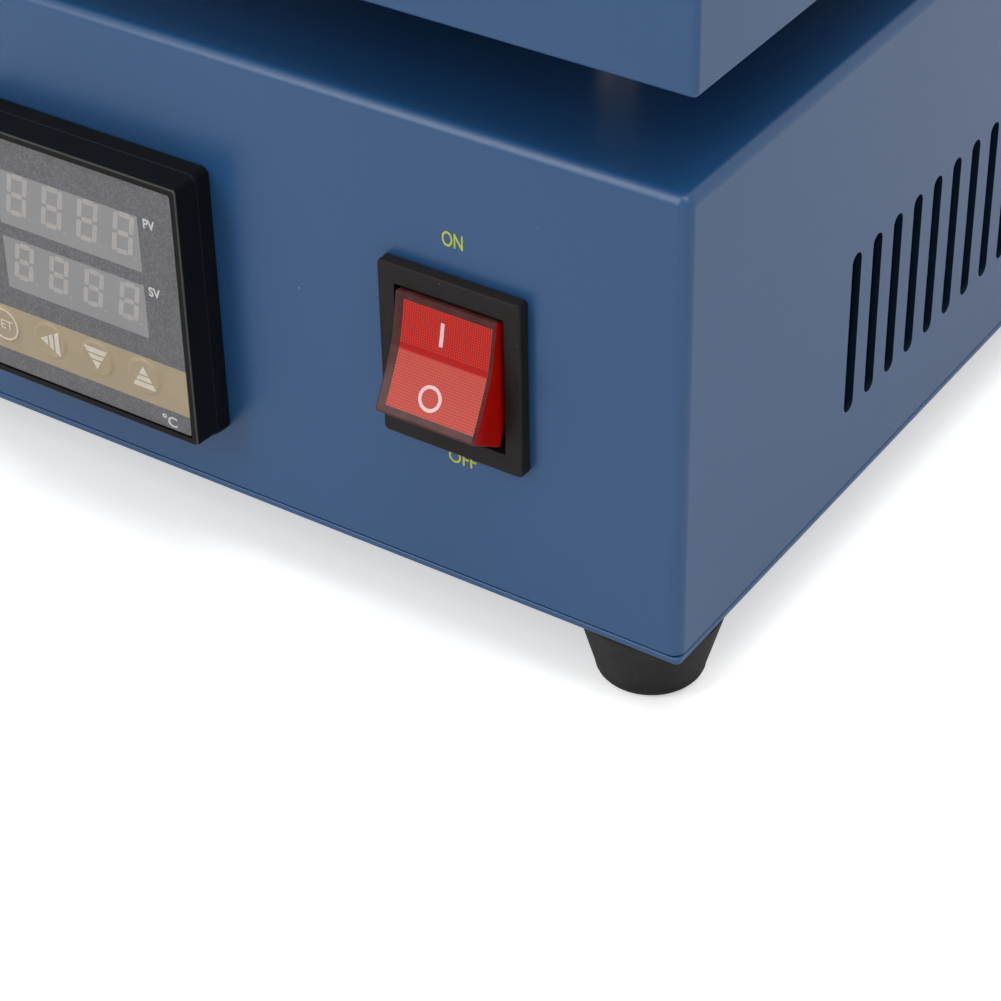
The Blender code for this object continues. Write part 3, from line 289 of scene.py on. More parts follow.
def addBump(tree, shader, height, depth, distance=1.0):
    bump = tree.nodes.new("ShaderNodeBump")
    bump.inputs["Strength"].default_value = depth
    bump.inputs["Distance"].default_value = distance
    tree.links.new(height, bump.inputs["Height"])
    tree.links.new(bump.outputs["Normal"], shader.inputs["Normal"])
    return bump


def dustMask(tree, cell, share, dot):  # small dots in some cells
    vector = scaledCoords(tree, 1 / cell)
    texture = tree.nodes.new("ShaderNodeTexVoronoi")
    texture.inputs["Scale"].default_value = 1.0
    tree.links.new(vector, texture.inputs["Vector"])
    near = remap(tree, texture.outputs["Distance"], dot, dot * 0.6)
    split = tree.nodes.new("ShaderNodeSeparateColor")
    tree.links.new(texture.outputs["Color"], split.inputs["Color"])
    lucky = maths(tree, "GREATER_THAN", split.outputs["Red"], 1 - share)
    return maths(tree, "MULTIPLY", near, lucky)


def grainyFinish(name, look):
    finish, tree, shader = newFinish(name)
    stretch = look.get("stretch", (1, 1, 1))
    patches = noise(tree, look.get("patch", 30 * mm), stretch, 2.0)
    share = remap(tree, patches, 0.35, 0.65)
    colour = blendColours(tree, share, look["colour"], look.get("shade", look["colour"]))
    grain = noise(tree, look.get("grain", 0.5 * mm), stretch, look.get("detail", 3.0))
    if look.get("fleck"):
        fleckShare = remap(tree, grain, 0.45, 0.70, 0.0, look.get("fleckShare", 0.5))
        colour = blendColours(tree, fleckShare, colour, look["fleck"])
    if look.get("dust"):
        cell, some, dot = look["dust"]
        colour = blendColours(tree, dustMask(tree, cell, some, dot), colour, look["dustColour"])
    tree.links.new(colour, shader.inputs["Base Color"])
    low, high = look["roughness"]
    tree.links.new(remap(tree, grain, 0.35, 0.65, low, high), shader.inputs["Roughness"])
    shader.inputs["Metallic"].default_value = look.get("metal", 0.0)
    shader.inputs["Specular IOR Level"].default_value = look.get("specular", 0.5)
    addBump(tree, shader, grain, look.get("bump", 0.2), look.get("bumpDistance", 0.05 * mm))
    return finish


finishLooks = {
    "blue_paint": {"colour": (0.0150, 0.0745, 0.198), "shade": (0.0172, 0.0790, 0.207), "patch": 60 * mm,
                   "grain": 0.45 * mm, "roughness": (0.29, 0.35), "bump": 0.10, "bumpDistance": 0.03 * mm,
                   "specular": 0.5, "dust": (11 * mm, 0.12, 0.016), "dustColour": (0.26, 0.33, 0.42)},
    # painted shade: a near-black blue for the housing's inner walls and slot walls, standing in for the shade
    # inside
    "painted_shade_inside": {"colour": (0.004, 0.012, 0.028), "shade": (0.005, 0.015, 0.032), "patch": 20 * mm,
                     "grain": 0.6 * mm, "roughness": (0.6, 0.75), "bump": 0.2, "specular": 0.1},
    "black_rubber": {"colour": (0.017, 0.017, 0.017), "shade": (0.024, 0.024, 0.024), "patch": 5 * mm,
                     "specular": 0.2,
                     "grain": 0.25 * mm, "roughness": (0.55, 0.75), "bump": 0.5,
                     "dust": (2.2 * mm, 0.10, 0.05), "dustColour": (0.16, 0.16, 0.16)},
    "zinc_steel": {"colour": (0.58, 0.58, 0.57), "shade": (0.50, 0.50, 0.48), "patch": 2 * mm, "grain": 0.2 * mm,
                   "roughness": (0.28, 0.40), "metal": 1.0, "bump": 0.15},
    "post_steel": {"colour": (0.60, 0.56, 0.50), "shade": (0.50, 0.46, 0.40), "patch": 3 * mm, "grain": 0.15 * mm,
                   "stretch": (6, 6, 1), "roughness": (0.12, 0.20), "metal": 1.0, "bump": 0.15},
    "plate_aluminium": {"colour": (0.62, 0.63, 0.64), "shade": (0.54, 0.55, 0.56), "patch": 40 * mm,
                        "grain": 0.22 * mm, "stretch": (40, 1, 1), "roughness": (0.30, 0.45), "metal": 1.0,
                        "bump": 0.35, "bumpDistance": 0.02 * mm},
    "sheath_steel": {"colour": (0.50, 0.50, 0.50), "shade": (0.36, 0.34, 0.32), "patch": 8 * mm,
                     "grain": 0.2 * mm, "roughness": (0.35, 0.5), "metal": 1.0},
    "ceramic_fibre": {"colour": (0.80, 0.78, 0.72), "shade": (0.70, 0.67, 0.60), "patch": 12 * mm,
                      "grain": 0.6 * mm, "roughness": (0.9, 1.0), "bump": 0.8, "bumpDistance": 0.3 * mm},
    "glass_sleeve": {"colour": (0.78, 0.74, 0.64), "shade": (0.66, 0.61, 0.50), "patch": 1.2 * mm,
                     "grain": 0.3 * mm, "roughness": (0.8, 0.95), "bump": 0.6, "bumpDistance": 0.1 * mm},
    "white_ceramic": {"colour": (0.82, 0.80, 0.76), "shade": (0.76, 0.73, 0.68), "patch": 9 * mm,
                      "grain": 0.8 * mm, "roughness": (0.18, 0.30), "bump": 0.1},
    "black_plastic": {"colour": (0.003, 0.004, 0.005), "shade": (0.005, 0.005, 0.006), "patch": 6 * mm,
                      "specular": 0.12,
                      "grain": 0.18 * mm, "roughness": (0.36, 0.50), "bump": 0.25,
                      "dust": (3.5 * mm, 0.14, 0.035), "dustColour": (0.12, 0.12, 0.12)},
    "switch_plastic": {"colour": (0.013, 0.011, 0.010), "shade": (0.016, 0.013, 0.013), "patch": 5 * mm,
                       "specular": 0.15,
                       "grain": 0.12 * mm, "roughness": (0.42, 0.55), "bump": 0.3,
                       "dust": (1.7 * mm, 0.16, 0.045), "dustColour": (0.30, 0.31, 0.29)},
    "lens_film": {"colour": (0.088, 0.088, 0.093), "shade": (0.104, 0.104, 0.110), "patch": 3 * mm,
                  "grain": 0.30 * mm, "fleck": (0.225, 0.225, 0.236), "fleckShare": 0.62,
                  "roughness": (0.34, 0.46), "bump": 0.35},
    "display_face": {"colour": (0.250, 0.250, 0.254), "shade": (0.272, 0.272, 0.278), "patch": 12 * mm,
                     "grain": 0.2 * mm, "fleck": (0.29, 0.29, 0.29), "fleckShare": 0.3,
                     "roughness": (0.34, 0.44), "bump": 0.15},
    "circuit_board": {"colour": (0.030, 0.160, 0.070), "shade": (0.040, 0.200, 0.090), "patch": 3 * mm,
                      "grain": 0.4 * mm, "roughness": (0.35, 0.5), "bump": 0.2},
    "key_film": {"colour": (0.362, 0.284, 0.180), "shade": (0.390, 0.308, 0.196), "patch": 8 * mm,
                 "grain": 0.25 * mm, "roughness": (0.33, 0.42), "bump": 0.15},
    "laminated_core": {"colour": (0.120, 0.115, 0.105), "shade": (0.080, 0.070, 0.060), "patch": 0.5 * mm,
                       "stretch": (1, 40, 40), "grain": 0.35 * mm, "roughness": (0.5, 0.7), "metal": 0.6,
                       "bump": 0.5},
    "tinned_brass": {"colour": (0.62, 0.56, 0.40), "shade": (0.66, 0.62, 0.50), "patch": 2 * mm,
                     "grain": 0.2 * mm, "roughness": (0.25, 0.38), "metal": 1.0},
    "red_plastic": {"colour": (0.500, 0.005, 0.002), "shade": (0.450, 0.004, 0.002), "patch": 4 * mm,
                    "specular": 0.2,
                    "grain": 0.3 * mm, "roughness": (0.16, 0.24), "bump": 0.05},
}
finishes = {name: grainyFinish(name, look) for name, look in finishLooks.items()}
inkLooks = {
    "inkYellow": {"colour": (0.500, 0.530, 0.036), "shade": (0.530, 0.560, 0.042), "patch": 3 * mm,
                  "grain": 0.3 * mm, "roughness": (0.45, 0.55)},
    "inkWhite": {"colour": (0.62, 0.62, 0.62), "shade": (0.54, 0.54, 0.54), "patch": 1 * mm,
                 "grain": 0.15 * mm, "roughness": (0.4, 0.5)},
    "inkCream": {"colour": (0.68, 0.61, 0.51), "shade": (0.60, 0.54, 0.45), "patch": 1 * mm,
                 "grain": 0.15 * mm, "roughness": (0.4, 0.5)},
    "inkPink": {"colour": (0.80, 0.56, 0.56), "shade": (0.74, 0.50, 0.50), "patch": 1 * mm,
                "grain": 0.15 * mm, "roughness": (0.3, 0.4)},
    # painted highlight: a lighter colour for the bezel rim's rounded edges, standing in for the light they catch
    "bezelPaintedHighlight": {"colour": (0.028, 0.028, 0.024), "shade": (0.020, 0.020, 0.018), "patch": 1.5 * mm,
                  "grain": 0.15 * mm, "roughness": (0.35, 0.45), "bump": 0.2},
    "ghostSegment": {"colour": (0.412, 0.384, 0.372), "shade": (0.378, 0.352, 0.342), "patch": 2 * mm,
                     "grain": 0.2 * mm, "roughness": (0.36, 0.44)},
    "ghostDot": {"colour": (0.325, 0.315, 0.312), "shade": (0.305, 0.297, 0.294), "patch": 2 * mm,
                 "grain": 0.2 * mm, "roughness": (0.36, 0.44)},
    # smoky border of the rocker's face, also used as painted shade on the rocker's end walls and left side wall
    "smokyEdgeAndShade": {"colour": (0.066, 0.021, 0.020), "shade": (0.092, 0.030, 0.027), "patch": 2 * mm,
                  "specular": 0.12, "grain": 0.4 * mm, "roughness": (0.12, 0.20), "bump": 0.03},
}
inks = {name: grainyFinish(name, look) for name, look in inkLooks.items()}

rockerGrids = {"upper": {"pitch": 0.40 * mm, "bright": (0.82, 0.050, 0.032), "deep": (0.37, 0.009, 0.006),
                         "depth": 0.2},
               "valley": {"pitch": 0.40 * mm, "bright": (0.60, 0.010, 0.006), "deep": (0.36, 0.004, 0.003),
                          "depth": 0.2},
               "lower": {"pitch": 0.40 * mm, "bright": (0.68, 0.108, 0.078), "deep": (0.45, 0.050, 0.036),
                         "depth": 0.2}}


def gridFinish(name, look):  # moulded dots under the rocker's clear skin
    finish, tree, shader = newFinish(name)
    coords = tree.nodes.new("ShaderNodeTexCoord")
    split = tree.nodes.new("ShaderNodeSeparateXYZ")
    tree.links.new(coords.outputs["Object"], split.inputs["Vector"])
    waves = []
    for axis in ("X", "Z"):
        angle = maths(tree, "MULTIPLY", split.outputs[axis], 2 * math.pi / look["pitch"])
        waves.append(remap(tree, maths(tree, "SINE", angle), -1, 1))
    dots = maths(tree, "MULTIPLY", *waves)
    colour = blendColours(tree, remap(tree, dots, 0.1, 0.8), look["deep"], look["bright"])
    tree.links.new(colour, shader.inputs["Base Color"])
    tree.links.new(remap(tree, dots, 0, 1, 0.30, 0.22), shader.inputs["Roughness"])
    shader.inputs["Specular IOR Level"].default_value = 0.18
    addBump(tree, shader, dots, look["depth"], 0.05 * mm)
    return finish


upperGrid, valleyGrid, lowerGrid = [gridFinish(f"rockerGrid{name.title()}", look)
                                    for name, look in rockerGrids.items()]
print("finishes ready")

# ---- camera ----

cameraView = {"place": (0.2655, -0.3937336, 0.3041), "forward": (-0.4527, 0.6665, -0.5922),
              "right": (0.8339, 0.5516, -0.0166), "lens": 107.1, "sensor": 36.0}


def makeCamera(look):
    forward = Vector(look["forward"]).normalized()
    right = Vector(look["right"])
    right = (right - forward * right.dot(forward)).normalized()
    upward = right.cross(forward)
    lens = bpy.data.cameras.new("camera")
    lens.lens = look["lens"]
    lens.sensor_width = look["sensor"]
    lens.clip_start = 0.01
    camera = bpy.data.objects.new("camera", lens)
    turn = Matrix((right, upward, -forward)).transposed()
    camera.matrix_world = Matrix.Translation(look["place"]) @ turn.to_4x4()
    bpy.context.scene.collection.objects.link(camera)
    bpy.context.scene.camera = camera


makeCamera(cameraView)

# ---- floor, world and lamps ----

studio = {"floorSize": 8.0, "floorColour": (0.80, 0.80, 0.80), "floorGlow": 0.50, "floorSheen": 0.08,
          "skyLow": 0.14, "skyHigh": 0.76,
          "lamps": [  # place, aim, width, height, watts
              ((0.25, -0.25, 1.95), (0, 0, 0.07), 1.0, 1.0, 12.0),
              ((1.0, -0.4, 1.8), (0, 0, 0.07), 0.9, 0.9, 5.0),
              ((0.1, 0.9, 1.6), (0, 0, 0.12), 1.0, 1.0, 3.0),
              ((-0.70, -1.26, 0.91), (0.02, -0.09, 0.09), 0.40, 1.3, 8.5)]}


def seenDirectly(tree):  # 1 for camera rays, and 1 for glossy and transmission rays
    path = tree.nodes.new("ShaderNodeLightPath")
    mirrored = maths(tree, "MAXIMUM", path.outputs["Is Glossy Ray"], path.outputs["Is Transmission Ray"])
    return path.outputs["Is Camera Ray"], mirrored


def makeStudio(look):
    bm = bmesh.new()
    bmesh.ops.create_grid(bm, x_segments=1, y_segments=1, size=look["floorSize"] / 2)
    floor = shapeObject("studioFloor", bm)
    finish, tree, shader = newFinish("studioFloor")
    shader.inputs["Base Color"].default_value = (*look["floorColour"], 1)
    shader.inputs["Roughness"].default_value = 0.9
    shader.inputs["Specular IOR Level"].default_value = 0.0
    glow = tree.nodes.new("ShaderNodeEmission")
    seen, mirrored = seenDirectly(tree)
    total = maths(tree, "ADD", maths(tree, "MULTIPLY", seen, look["floorGlow"]),
                  maths(tree, "MULTIPLY", mirrored, look["floorSheen"]))
    tree.links.new(total, glow.inputs["Strength"])
    both = tree.nodes.new("ShaderNodeAddShader")
    tree.links.new(shader.outputs["BSDF"], both.inputs[0])
    tree.links.new(glow.outputs["Emission"], both.inputs[1])
    tree.links.new(both.outputs["Shader"], tree.nodes["Material Output"].inputs["Surface"])
    floor.data.materials.append(finish)

    world = bpy.data.worlds.new("studioWorld")
    world.use_nodes = True
    bpy.context.scene.world = world
    sky = world.node_tree
    background = sky.nodes["Background"]
    background.inputs["Color"].default_value = (1, 1, 1, 1)
    split = sky.nodes.new("ShaderNodeSeparateXYZ")
    sky.links.new(sky.nodes.new("ShaderNodeTexCoord").outputs["Generated"], split.inputs["Vector"])
    lit = remap(sky, split.outputs["Z"], 0, 1, look["skyLow"], look["skyHigh"])  # dim near the horizon
    strength = maths(sky, "MAXIMUM", lit, maths(sky, "MAXIMUM", *seenDirectly(sky)))
    sky.links.new(strength, background.inputs["Strength"])

    for number, (place, aim, width, height, watts) in enumerate(look["lamps"], start=1):
        light = bpy.data.lights.new(f"softLamp{number}", "AREA")
        light.shape = "RECTANGLE"
        light.size = width
        light.size_y = height
        light.energy = watts
        lamp = bpy.data.objects.new(f"softLamp{number}", light)
        lamp.matrix_world = (Matrix.Translation(place)
                             @ (Vector(aim) - Vector(place)).to_track_quat("-Z", "Y").to_matrix().to_4x4())
        bpy.context.scene.collection.objects.link(lamp)


makeStudio(studio)
bpy.context.scene.view_settings.view_transform = "Standard"
print("studio ready")

# ---- control housing and base plate ----

housing = {"sheet": 1.2 * mm, "bend": 2.0 * mm, "bendSteps": 8, "flange": 22 * mm, "edge": 0.22 * mm,
           "slots": 12, "slotFromFront": 52.8 * mm, "slotPitch": 6.95 * mm, "slotWidth": 3.05 * mm,
           "slotLength": 29.9 * mm, "slotBottom": 29.95 * mm, "lowerEdge": 0.55 * mm, "fit": 0.3 * mm,
           "boltHole": 2.8 * mm, "leadHole": 6.5 * mm, "screwHole": 2.3 * mm,
           "controllerHole": 44.4 * mm, "switchHole": (21.4 * mm, 27.9 * mm), "panelCorner": 0.8 * mm,
           "inletHole": (27.2 * mm, 19.6 * mm), "inletCorner": 1.2 * mm,
           "inletScrew": 1.8 * mm, "inletScrewAcross": 20 * mm}


def cornerPlaces(inset):
    x = housingHigh.x - inset
    y = (rearY - frontY) / 2 - inset
    return [(sideX * x, middleY + sideY * y) for sideX in (-1, 1) for sideY in (-1, 1)]


def onOutside(edge, low, high):
    middle = (edge.verts[0].co + edge.verts[1].co) / 2
    reach = min(middle.x - low.x, high.x - middle.x, middle.y - low.y, high.y - middle.y)
    return reach < 0.7 * mm


def paintShadeInside(bm, low, high, look):  # painted shade: inner walls and slot walls get a near-black blue that stands in for the shade inside the housing
    middle = (low + high) / 2
    firstY = frontY + look["slotFromFront"] - 2 * mm
    lastY = firstY + (look["slots"] - 1) * look["slotPitch"] + 4 * mm
    for face in bm.faces:
        centre = face.calc_center_median()
        deep = min(centre.x - low.x, high.x - centre.x)
        inSlot = 0.30 * mm < deep < 1.3 * mm and firstY < centre.y < lastY and centre.z < high.z - 3 * mm
        if inSlot or face.normal.dot(centre - middle) < 0:
            face.material_index = 1


def makeHousing(look):
    sheet = look["sheet"]
    low, high = housingLow, housingHigh
    bm = newBox(low, high)
    atTop = level(2, high.z)
    upright = along(2)
    roundOff(bm, look["bend"], look["bendSteps"], lambda edge: upright(edge) or atTop(edge))
    bay = newBox((low.x + sheet, low.y + sheet, low.z + sheet), (high.x - sheet, high.y - sheet, high.z - sheet))
    bayTop = level(2, high.z - sheet)
    roundOff(bay, look["bend"] - sheet, 4, lambda edge: upright(edge) or bayTop(edge))
    mouth = newBox((low.x + sheet, low.y + look["flange"], low.z - sheet),
                   (high.x - sheet, high.y - look["flange"], low.z + 2 * sheet))
    holes = []
    for side in (low.x, high.x):
        for number in range(look["slots"]):
            y = frontY + look["slotFromFront"] + number * look["slotPitch"]
            slot = newBox((side - 3 * sheet, y - look["slotWidth"] / 2, look["slotBottom"]),
                          (side + 3 * sheet, y + look["slotWidth"] / 2, look["slotBottom"] + look["slotLength"]))
            roundOff(slot, look["slotWidth"] / 2 - 0.01 * mm, 6, along(0))
            holes.append(slot)
    fit = look["fit"]
    front = (frontY - 3 * sheet, frontY + 3 * sheet)
    rear = (rearY - 3 * sheet, rearY + 3 * sheet)
    square, corner = look["controllerHole"] + 2 * fit, look["panelCorner"]
    holes.append(newPanel((controllerX, controllerZ), square, square, corner, *front))
    wide, tall = look["switchHole"]
    holes.append(newPanel((switchX, switchZ), wide + 2 * fit, tall + 2 * fit, corner, *front))
    inletLow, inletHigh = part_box("inlet_body")
    inletX, inletZ = (inletLow.x + inletHigh.x) / 2, (inletLow.z + inletHigh.z) / 2
    wide, tall = look["inletHole"]
    holes.append(newPanel((inletX, inletZ), wide + 2 * fit, tall + 2 * fit, look["inletCorner"], *rear))
    holes += [newRod(look["inletScrew"], *rear, (inletX + side * look["inletScrewAcross"], inletZ), 1, 24)
              for side in (-1, 1)]
    top = (high.z - 3 * sheet, high.z + 3 * sheet)
    holes += [newRod(look["boltHole"], *top, place) for place in cornerPlaces(postInset)]
    grommetLow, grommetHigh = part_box("housing_grommet")
    holes.append(newRod(look["leadHole"], *top, (0, (grommetLow.y + grommetHigh.y) / 2)))
    below = (low.z - sheet, low.z + 2 * sheet)
    holes += [newRod(look["screwHole"], *below, place, 2, 24) for place in cornerPlaces(footInset)]
    bm = cutAway(bm, bay, mouth, joined(holes))
    atBottom = level(2, low.z)
    roundOff(bm, look["lowerEdge"], 3, lambda edge: atBottom(edge) and onOutside(edge, low, high))
    roundOff(bm, look["edge"], 2, keen(60))
    # painted shade on the inner walls and the slot walls
    paintShadeInside(bm, low, high, look)
    return addPiece("control_housing_sheet", bm, [finishes["blue_paint"], finishes["painted_shade_inside"]],
                    standsFor="control_housing")


makeHousing(housing)

basePlate = {"corner": 1.0 * mm, "edge": 0.45 * mm, "screwHole": 2.3 * mm}


def makeBasePlate(look):
    low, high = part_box("base_plate")
    bm = newBox(low, high)
    roundOff(bm, look["corner"], 6, along(2))
    holes = [newRod(look["screwHole"], low.z - 2 * mm, high.z + 2 * mm, place, 2, 24)
             for place in cornerPlaces(footInset)]
    bm = cutAway(bm, joined(holes))
    roundOff(bm, look["edge"], 4, keen(60))
    return addPiece("base_plate_sheet", bm, finishes["blue_paint"], standsFor="base_plate")


makeBasePlate(basePlate)
print("housing made")

# ---- feet, posts and screws ----

foot = {"topRadius": 11.9 * mm, "tipRadius": 8.4 * mm, "round": 2.2 * mm, "recess": 4.6 * mm, "deep": 6.0 * mm,
        "bore": 2.3 * mm, "lip": 0.4 * mm}


def makeFeet(look):
    for corner in ("front_left", "front_right", "rear_left", "rear_right"):
        node = f"foot_{corner}"
        low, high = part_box(node)
        tall = high.z - low.z
        slope = (look["topRadius"] - look["tipRadius"]) / tall
        rounding = look["round"]
        tip = [(look["tipRadius"] + slope * rounding - rounding * (1 - math.sin(turn)),
                rounding * (1 - math.cos(turn))) for turn in [math.radians(15 * step) for step in range(7)]]
        profile = [(look["bore"], tall), (look["topRadius"] - look["lip"], tall),
                   (look["topRadius"], tall - look["lip"]), *reversed(tip),
                   (look["recess"] + look["lip"], 0), (look["recess"], look["lip"]),
                   (look["recess"], look["deep"]), (look["bore"], look["deep"]), (look["bore"], tall)]
        bm = lathe(profile, ((low.x + high.x) / 2, (low.y + high.y) / 2, low.z), steps=64)
        addPiece(f"{node}_rubber", bm, finishes["black_rubber"], standsFor=node, angle=40)


makeFeet(foot)

easedNodes = {  # node: (finish, edge width, segments)
    "insulation_board": ("ceramic_fibre", 0.8 * mm, 2),
    "heating_plate": ("plate_aluminium", 0.25 * mm, 2),
    "inlet_body": ("black_plastic", 0.4 * mm, 3),
    "inlet_pin_line": ("tinned_brass", 0.3 * mm, 2),
    "inlet_pin_earth": ("tinned_brass", 0.3 * mm, 2),
    "inlet_pin_neutral": ("tinned_brass", 0.3 * mm, 2),
    "controller_case": ("black_plastic", 0.3 * mm, 2),
}


def easeNodes(table):
    for node, (slot, width, segments) in table.items():
        addPiece(f"{node}_eased", softCopy(node, width, segments), finishes[slot], standsFor=node)


easeNodes(easedNodes)

tray = {"sheet": 1.2 * mm, "bend": 1.0 * mm, "steps": 6, "edge": 0.3 * mm, "boltHole": 2.8 * mm,
        "leadHole": 6.5 * mm}


def makeTray(look):
    low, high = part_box("guard_tray")
    sheet = look["sheet"]
    bm = newBox(low, high)
    upright = along(2)
    atFloor = level(2, low.z)
    roundOff(bm, look["bend"], look["steps"], lambda edge: upright(edge) or atFloor(edge))
    bay = newBox((low.x + sheet, low.y + sheet, low.z + sheet), (high.x - sheet, high.y - sheet, high.z + sheet))
    bayFloor = level(2, low.z + sheet)
    roundOff(bay, 0.3 * mm, 2, lambda edge: upright(edge) or bayFloor(edge))
    through = (low.z - sheet, low.z + 3 * sheet)
    holes = [newRod(look["boltHole"], *through, place) for place in cornerPlaces(postInset)]
    grommetLow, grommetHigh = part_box("tray_grommet")
    holes.append(newRod(look["leadHole"], *through, (0, (grommetLow.y + grommetHigh.y) / 2)))
    bm = cutAway(bm, bay, joined(holes))
    roundOff(bm, look["edge"], 2, keen(60))
    return addPiece("guard_tray_sheet", bm, finishes["blue_paint"], standsFor="guard_tray")


makeTray(tray)
print("tray, feet and eased nodes made")

# ---- controller bezel and switch flange ----

def ringSolid(centre, rings):  # rings of (half width, half height, corner, out), back to front
    halfX, halfZ, corner, back = rings[0]
    bm = newPanel(centre, 2 * halfX, 2 * halfZ, corner, frontY - rings[1][3], frontY - back)
    face = min(bm.faces, key=lambda item: item.calc_center_median().y)
    for nextX, nextZ, nextCorner, out in rings[2:]:
        grown = bmesh.ops.extrude_face_region(bm, geom=[face])["geom"]
        if face.is_valid:
            bmesh.ops.delete(bm, geom=[face], context="FACES_ONLY")
        face = next(item for item in grown if isinstance(item, bmesh.types.BMFace))
        for vert in face.verts:
            for axis, middle, was, now in ((0, centre[0], halfX, nextX), (2, centre[1], halfZ, nextZ)):
                offset = vert.co[axis] - middle
                arc = abs(offset) - (was - corner)
                reach = now - nextCorner + arc * nextCorner / corner
                vert.co[axis] = middle + math.copysign(reach, offset)
            vert.co.y = frontY - out
        halfX, halfZ, corner = nextX, nextZ, nextCorner
    return bm


bezel = {"window": 22.7 * mm, "inner": 20.5 * mm, "windowCorner": 0.3 * mm, "innerCorner": 0.7 * mm,
         "seat": 0.1 * mm, "edge": 0.12 * mm,
         "rings": [  # inset, corner, out, in mm: flange, seam at the ridge, tapered body, rounded rim
             (0, 1.4, 0.1), (0, 1.4, 1.2), (0.14, 1.4, 3.00), (0.25, 1.4, 3.07), (0.25, 1.4, 3.16),
             (0.20, 1.4, 3.24), (0.35, 1.3, 3.90), (0.64, 0.78, 7.30), (0.68, 0.74, 7.50), (0.78, 0.66, 7.64),
             (0.94, 0.56, 7.70)]}


def makeBezel(look):
    low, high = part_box("controller_bezel")
    half = (high.x - low.x) / 2
    centre = (controllerX, controllerZ)
    bm = ringSolid(centre, [(half - inset * mm, half - inset * mm, corner * mm, out * mm)
                            for inset, corner, out in look["rings"]])
    pocket = newPanel(centre, 2 * look["window"], 2 * look["window"], look["windowCorner"],
                      low.y - 5 * mm, lensHigh.y + look["seat"])
    inner = newPanel(centre, 2 * look["inner"], 2 * look["inner"], look["innerCorner"],
                     low.y - 5 * mm, high.y + 5 * mm)
    bm = cutAway(bm, pocket, inner)
    roundOff(bm, look["edge"], 2, keen(62))
    for face in bm.faces:  # painted highlight: the rim's rounded front edges get a lighter colour, standing in for the light they catch
        middle = face.calc_center_median()
        if frontY - 7.68 * mm < middle.y < frontY - 7.40 * mm:
            face.material_index = 1
    return addPiece("controller_bezel_frame", bm, [finishes["black_plastic"], inks["bezelPaintedHighlight"]],
                    standsFor="controller_bezel")


makeBezel(bezel)

switch = {"mouthWidth": 19.5 * mm, "mouthHeight": 24.0 * mm, "mouthDepth": 13.0 * mm, "edge": 0.15 * mm,
          "pivotBack": 1.0 * mm, "pivotHole": 1.7 * mm, "pivotReach": 10.45 * mm,
          "tabAcross": 5.5 * mm, "tabUp": 6.5 * mm, "tabWidth": 6.9 * mm,
          "tabSheet": 1.4 * mm, "tabDeep": 4.3 * mm,
          "rings": [  # half width, half height, corner, out, in mm: body, then the flange
              (10.70, 13.95, 0.8, -22.0), (10.70, 13.95, 0.8, 0.1), (12.85, 15.50, 0.8, 0.1),
              (12.80, 15.45, 0.8, 1.75), (12.78, 15.43, 0.79, 1.95), (12.70, 15.35, 0.74, 2.10),
              (12.57, 15.22, 0.66, 2.18), (12.45, 15.10, 0.6, 2.20)]}


def makeSwitchBody(look):
    bm = ringSolid((switchX, switchZ), [tuple(number * mm for number in ring) for ring in look["rings"]])
    mouth = newBox((switchX - look["mouthWidth"] / 2, frontY - 5 * mm, switchZ - look["mouthHeight"] / 2),
                   (switchX + look["mouthWidth"] / 2, frontY + look["mouthDepth"],
                    switchZ + look["mouthHeight"] / 2))
    pivot = newRod(look["pivotHole"], switchX - look["pivotReach"], switchX + look["pivotReach"],
                   (frontY + look["pivotBack"], switchZ), 0, 24)
    back = switchHigh.y
    tabs = [newBox((switchX + side * look["tabAcross"] - look["tabWidth"] / 2, back - look["tabDeep"],
                    switchZ + row * look["tabUp"] - look["tabSheet"] / 2),
                   (switchX + side * look["tabAcross"] + look["tabWidth"] / 2, back + look["tabDeep"],
                    switchZ + row * look["tabUp"] + look["tabSheet"] / 2))
            for side in (-1, 1) for row in (-1, 1)]
    bm = cutAway(bm, mouth, pivot, joined(tabs))
    roundOff(bm, look["edge"], 2, keen(62))
    return addPiece("switch_body_frame", bm, finishes["switch_plastic"],
                    standsFor="switch_body")


makeSwitchBody(switch)

# ---- controller film, windows and keys ----

film = {"bandTop": -10.0 * mm, "bandLow": -18.8 * mm, "windowLeft": -13.9 * mm, "windowRight": 15.4 * mm,
        "pvTop": 16.6 * mm, "pvLow": 6.4 * mm, "svTop": 4.0 * mm, "svLow": -5.9 * mm}


def makeFilm(look):
    bm = softCopy("controller_lens", 0)
    lines = [(2, look[name]) for name in ("bandTop", "bandLow", "pvTop", "pvLow", "svTop", "svLow")]
    lines += [(0, look["windowLeft"]), (0, look["windowRight"])]
    middle = Vector((controllerX, 0, controllerZ))
    for axis, offset in lines:
        normal = Vector((0, 0, 0))
        normal[axis] = 1
        bmesh.ops.bisect_plane(bm, geom=bm.verts[:] + bm.edges[:] + bm.faces[:], dist=weld,
                               plane_co=middle + normal * offset, plane_no=normal)
    for face in bm.faces:
        x, z = face.calc_center_median().x - controllerX, face.calc_center_median().z - controllerZ
        inWindow = look["windowLeft"] < x < look["windowRight"]
        if look["bandLow"] < z < look["bandTop"]:
            face.material_index = 1
        elif inWindow and (look["pvLow"] < z < look["pvTop"] or look["svLow"] < z < look["svTop"]):
            face.material_index = 2
    layers = [finishes[name] for name in ("lens_film", "key_film", "display_face")]
    return addPiece("controller_film", bm, layers, standsFor="controller_lens", weighted=False)


makeFilm(film)

digits = {"bar": 0.95 * mm, "gap": 0.12 * mm, "lean": math.radians(9.5), "pitch": 7.29 * mm,
          "dot": 0.30 * mm, "dotGap": 0.85 * mm, "proud": 0.02 * mm,
          "rows": {  # name: last digit's place across and up, width, height
              "pv": (12.2 * mm, 12.55 * mm, 4.2 * mm, 7.9 * mm),
              "sv": (12.0 * mm, -0.05 * mm, 4.0 * mm, 7.2 * mm)}}


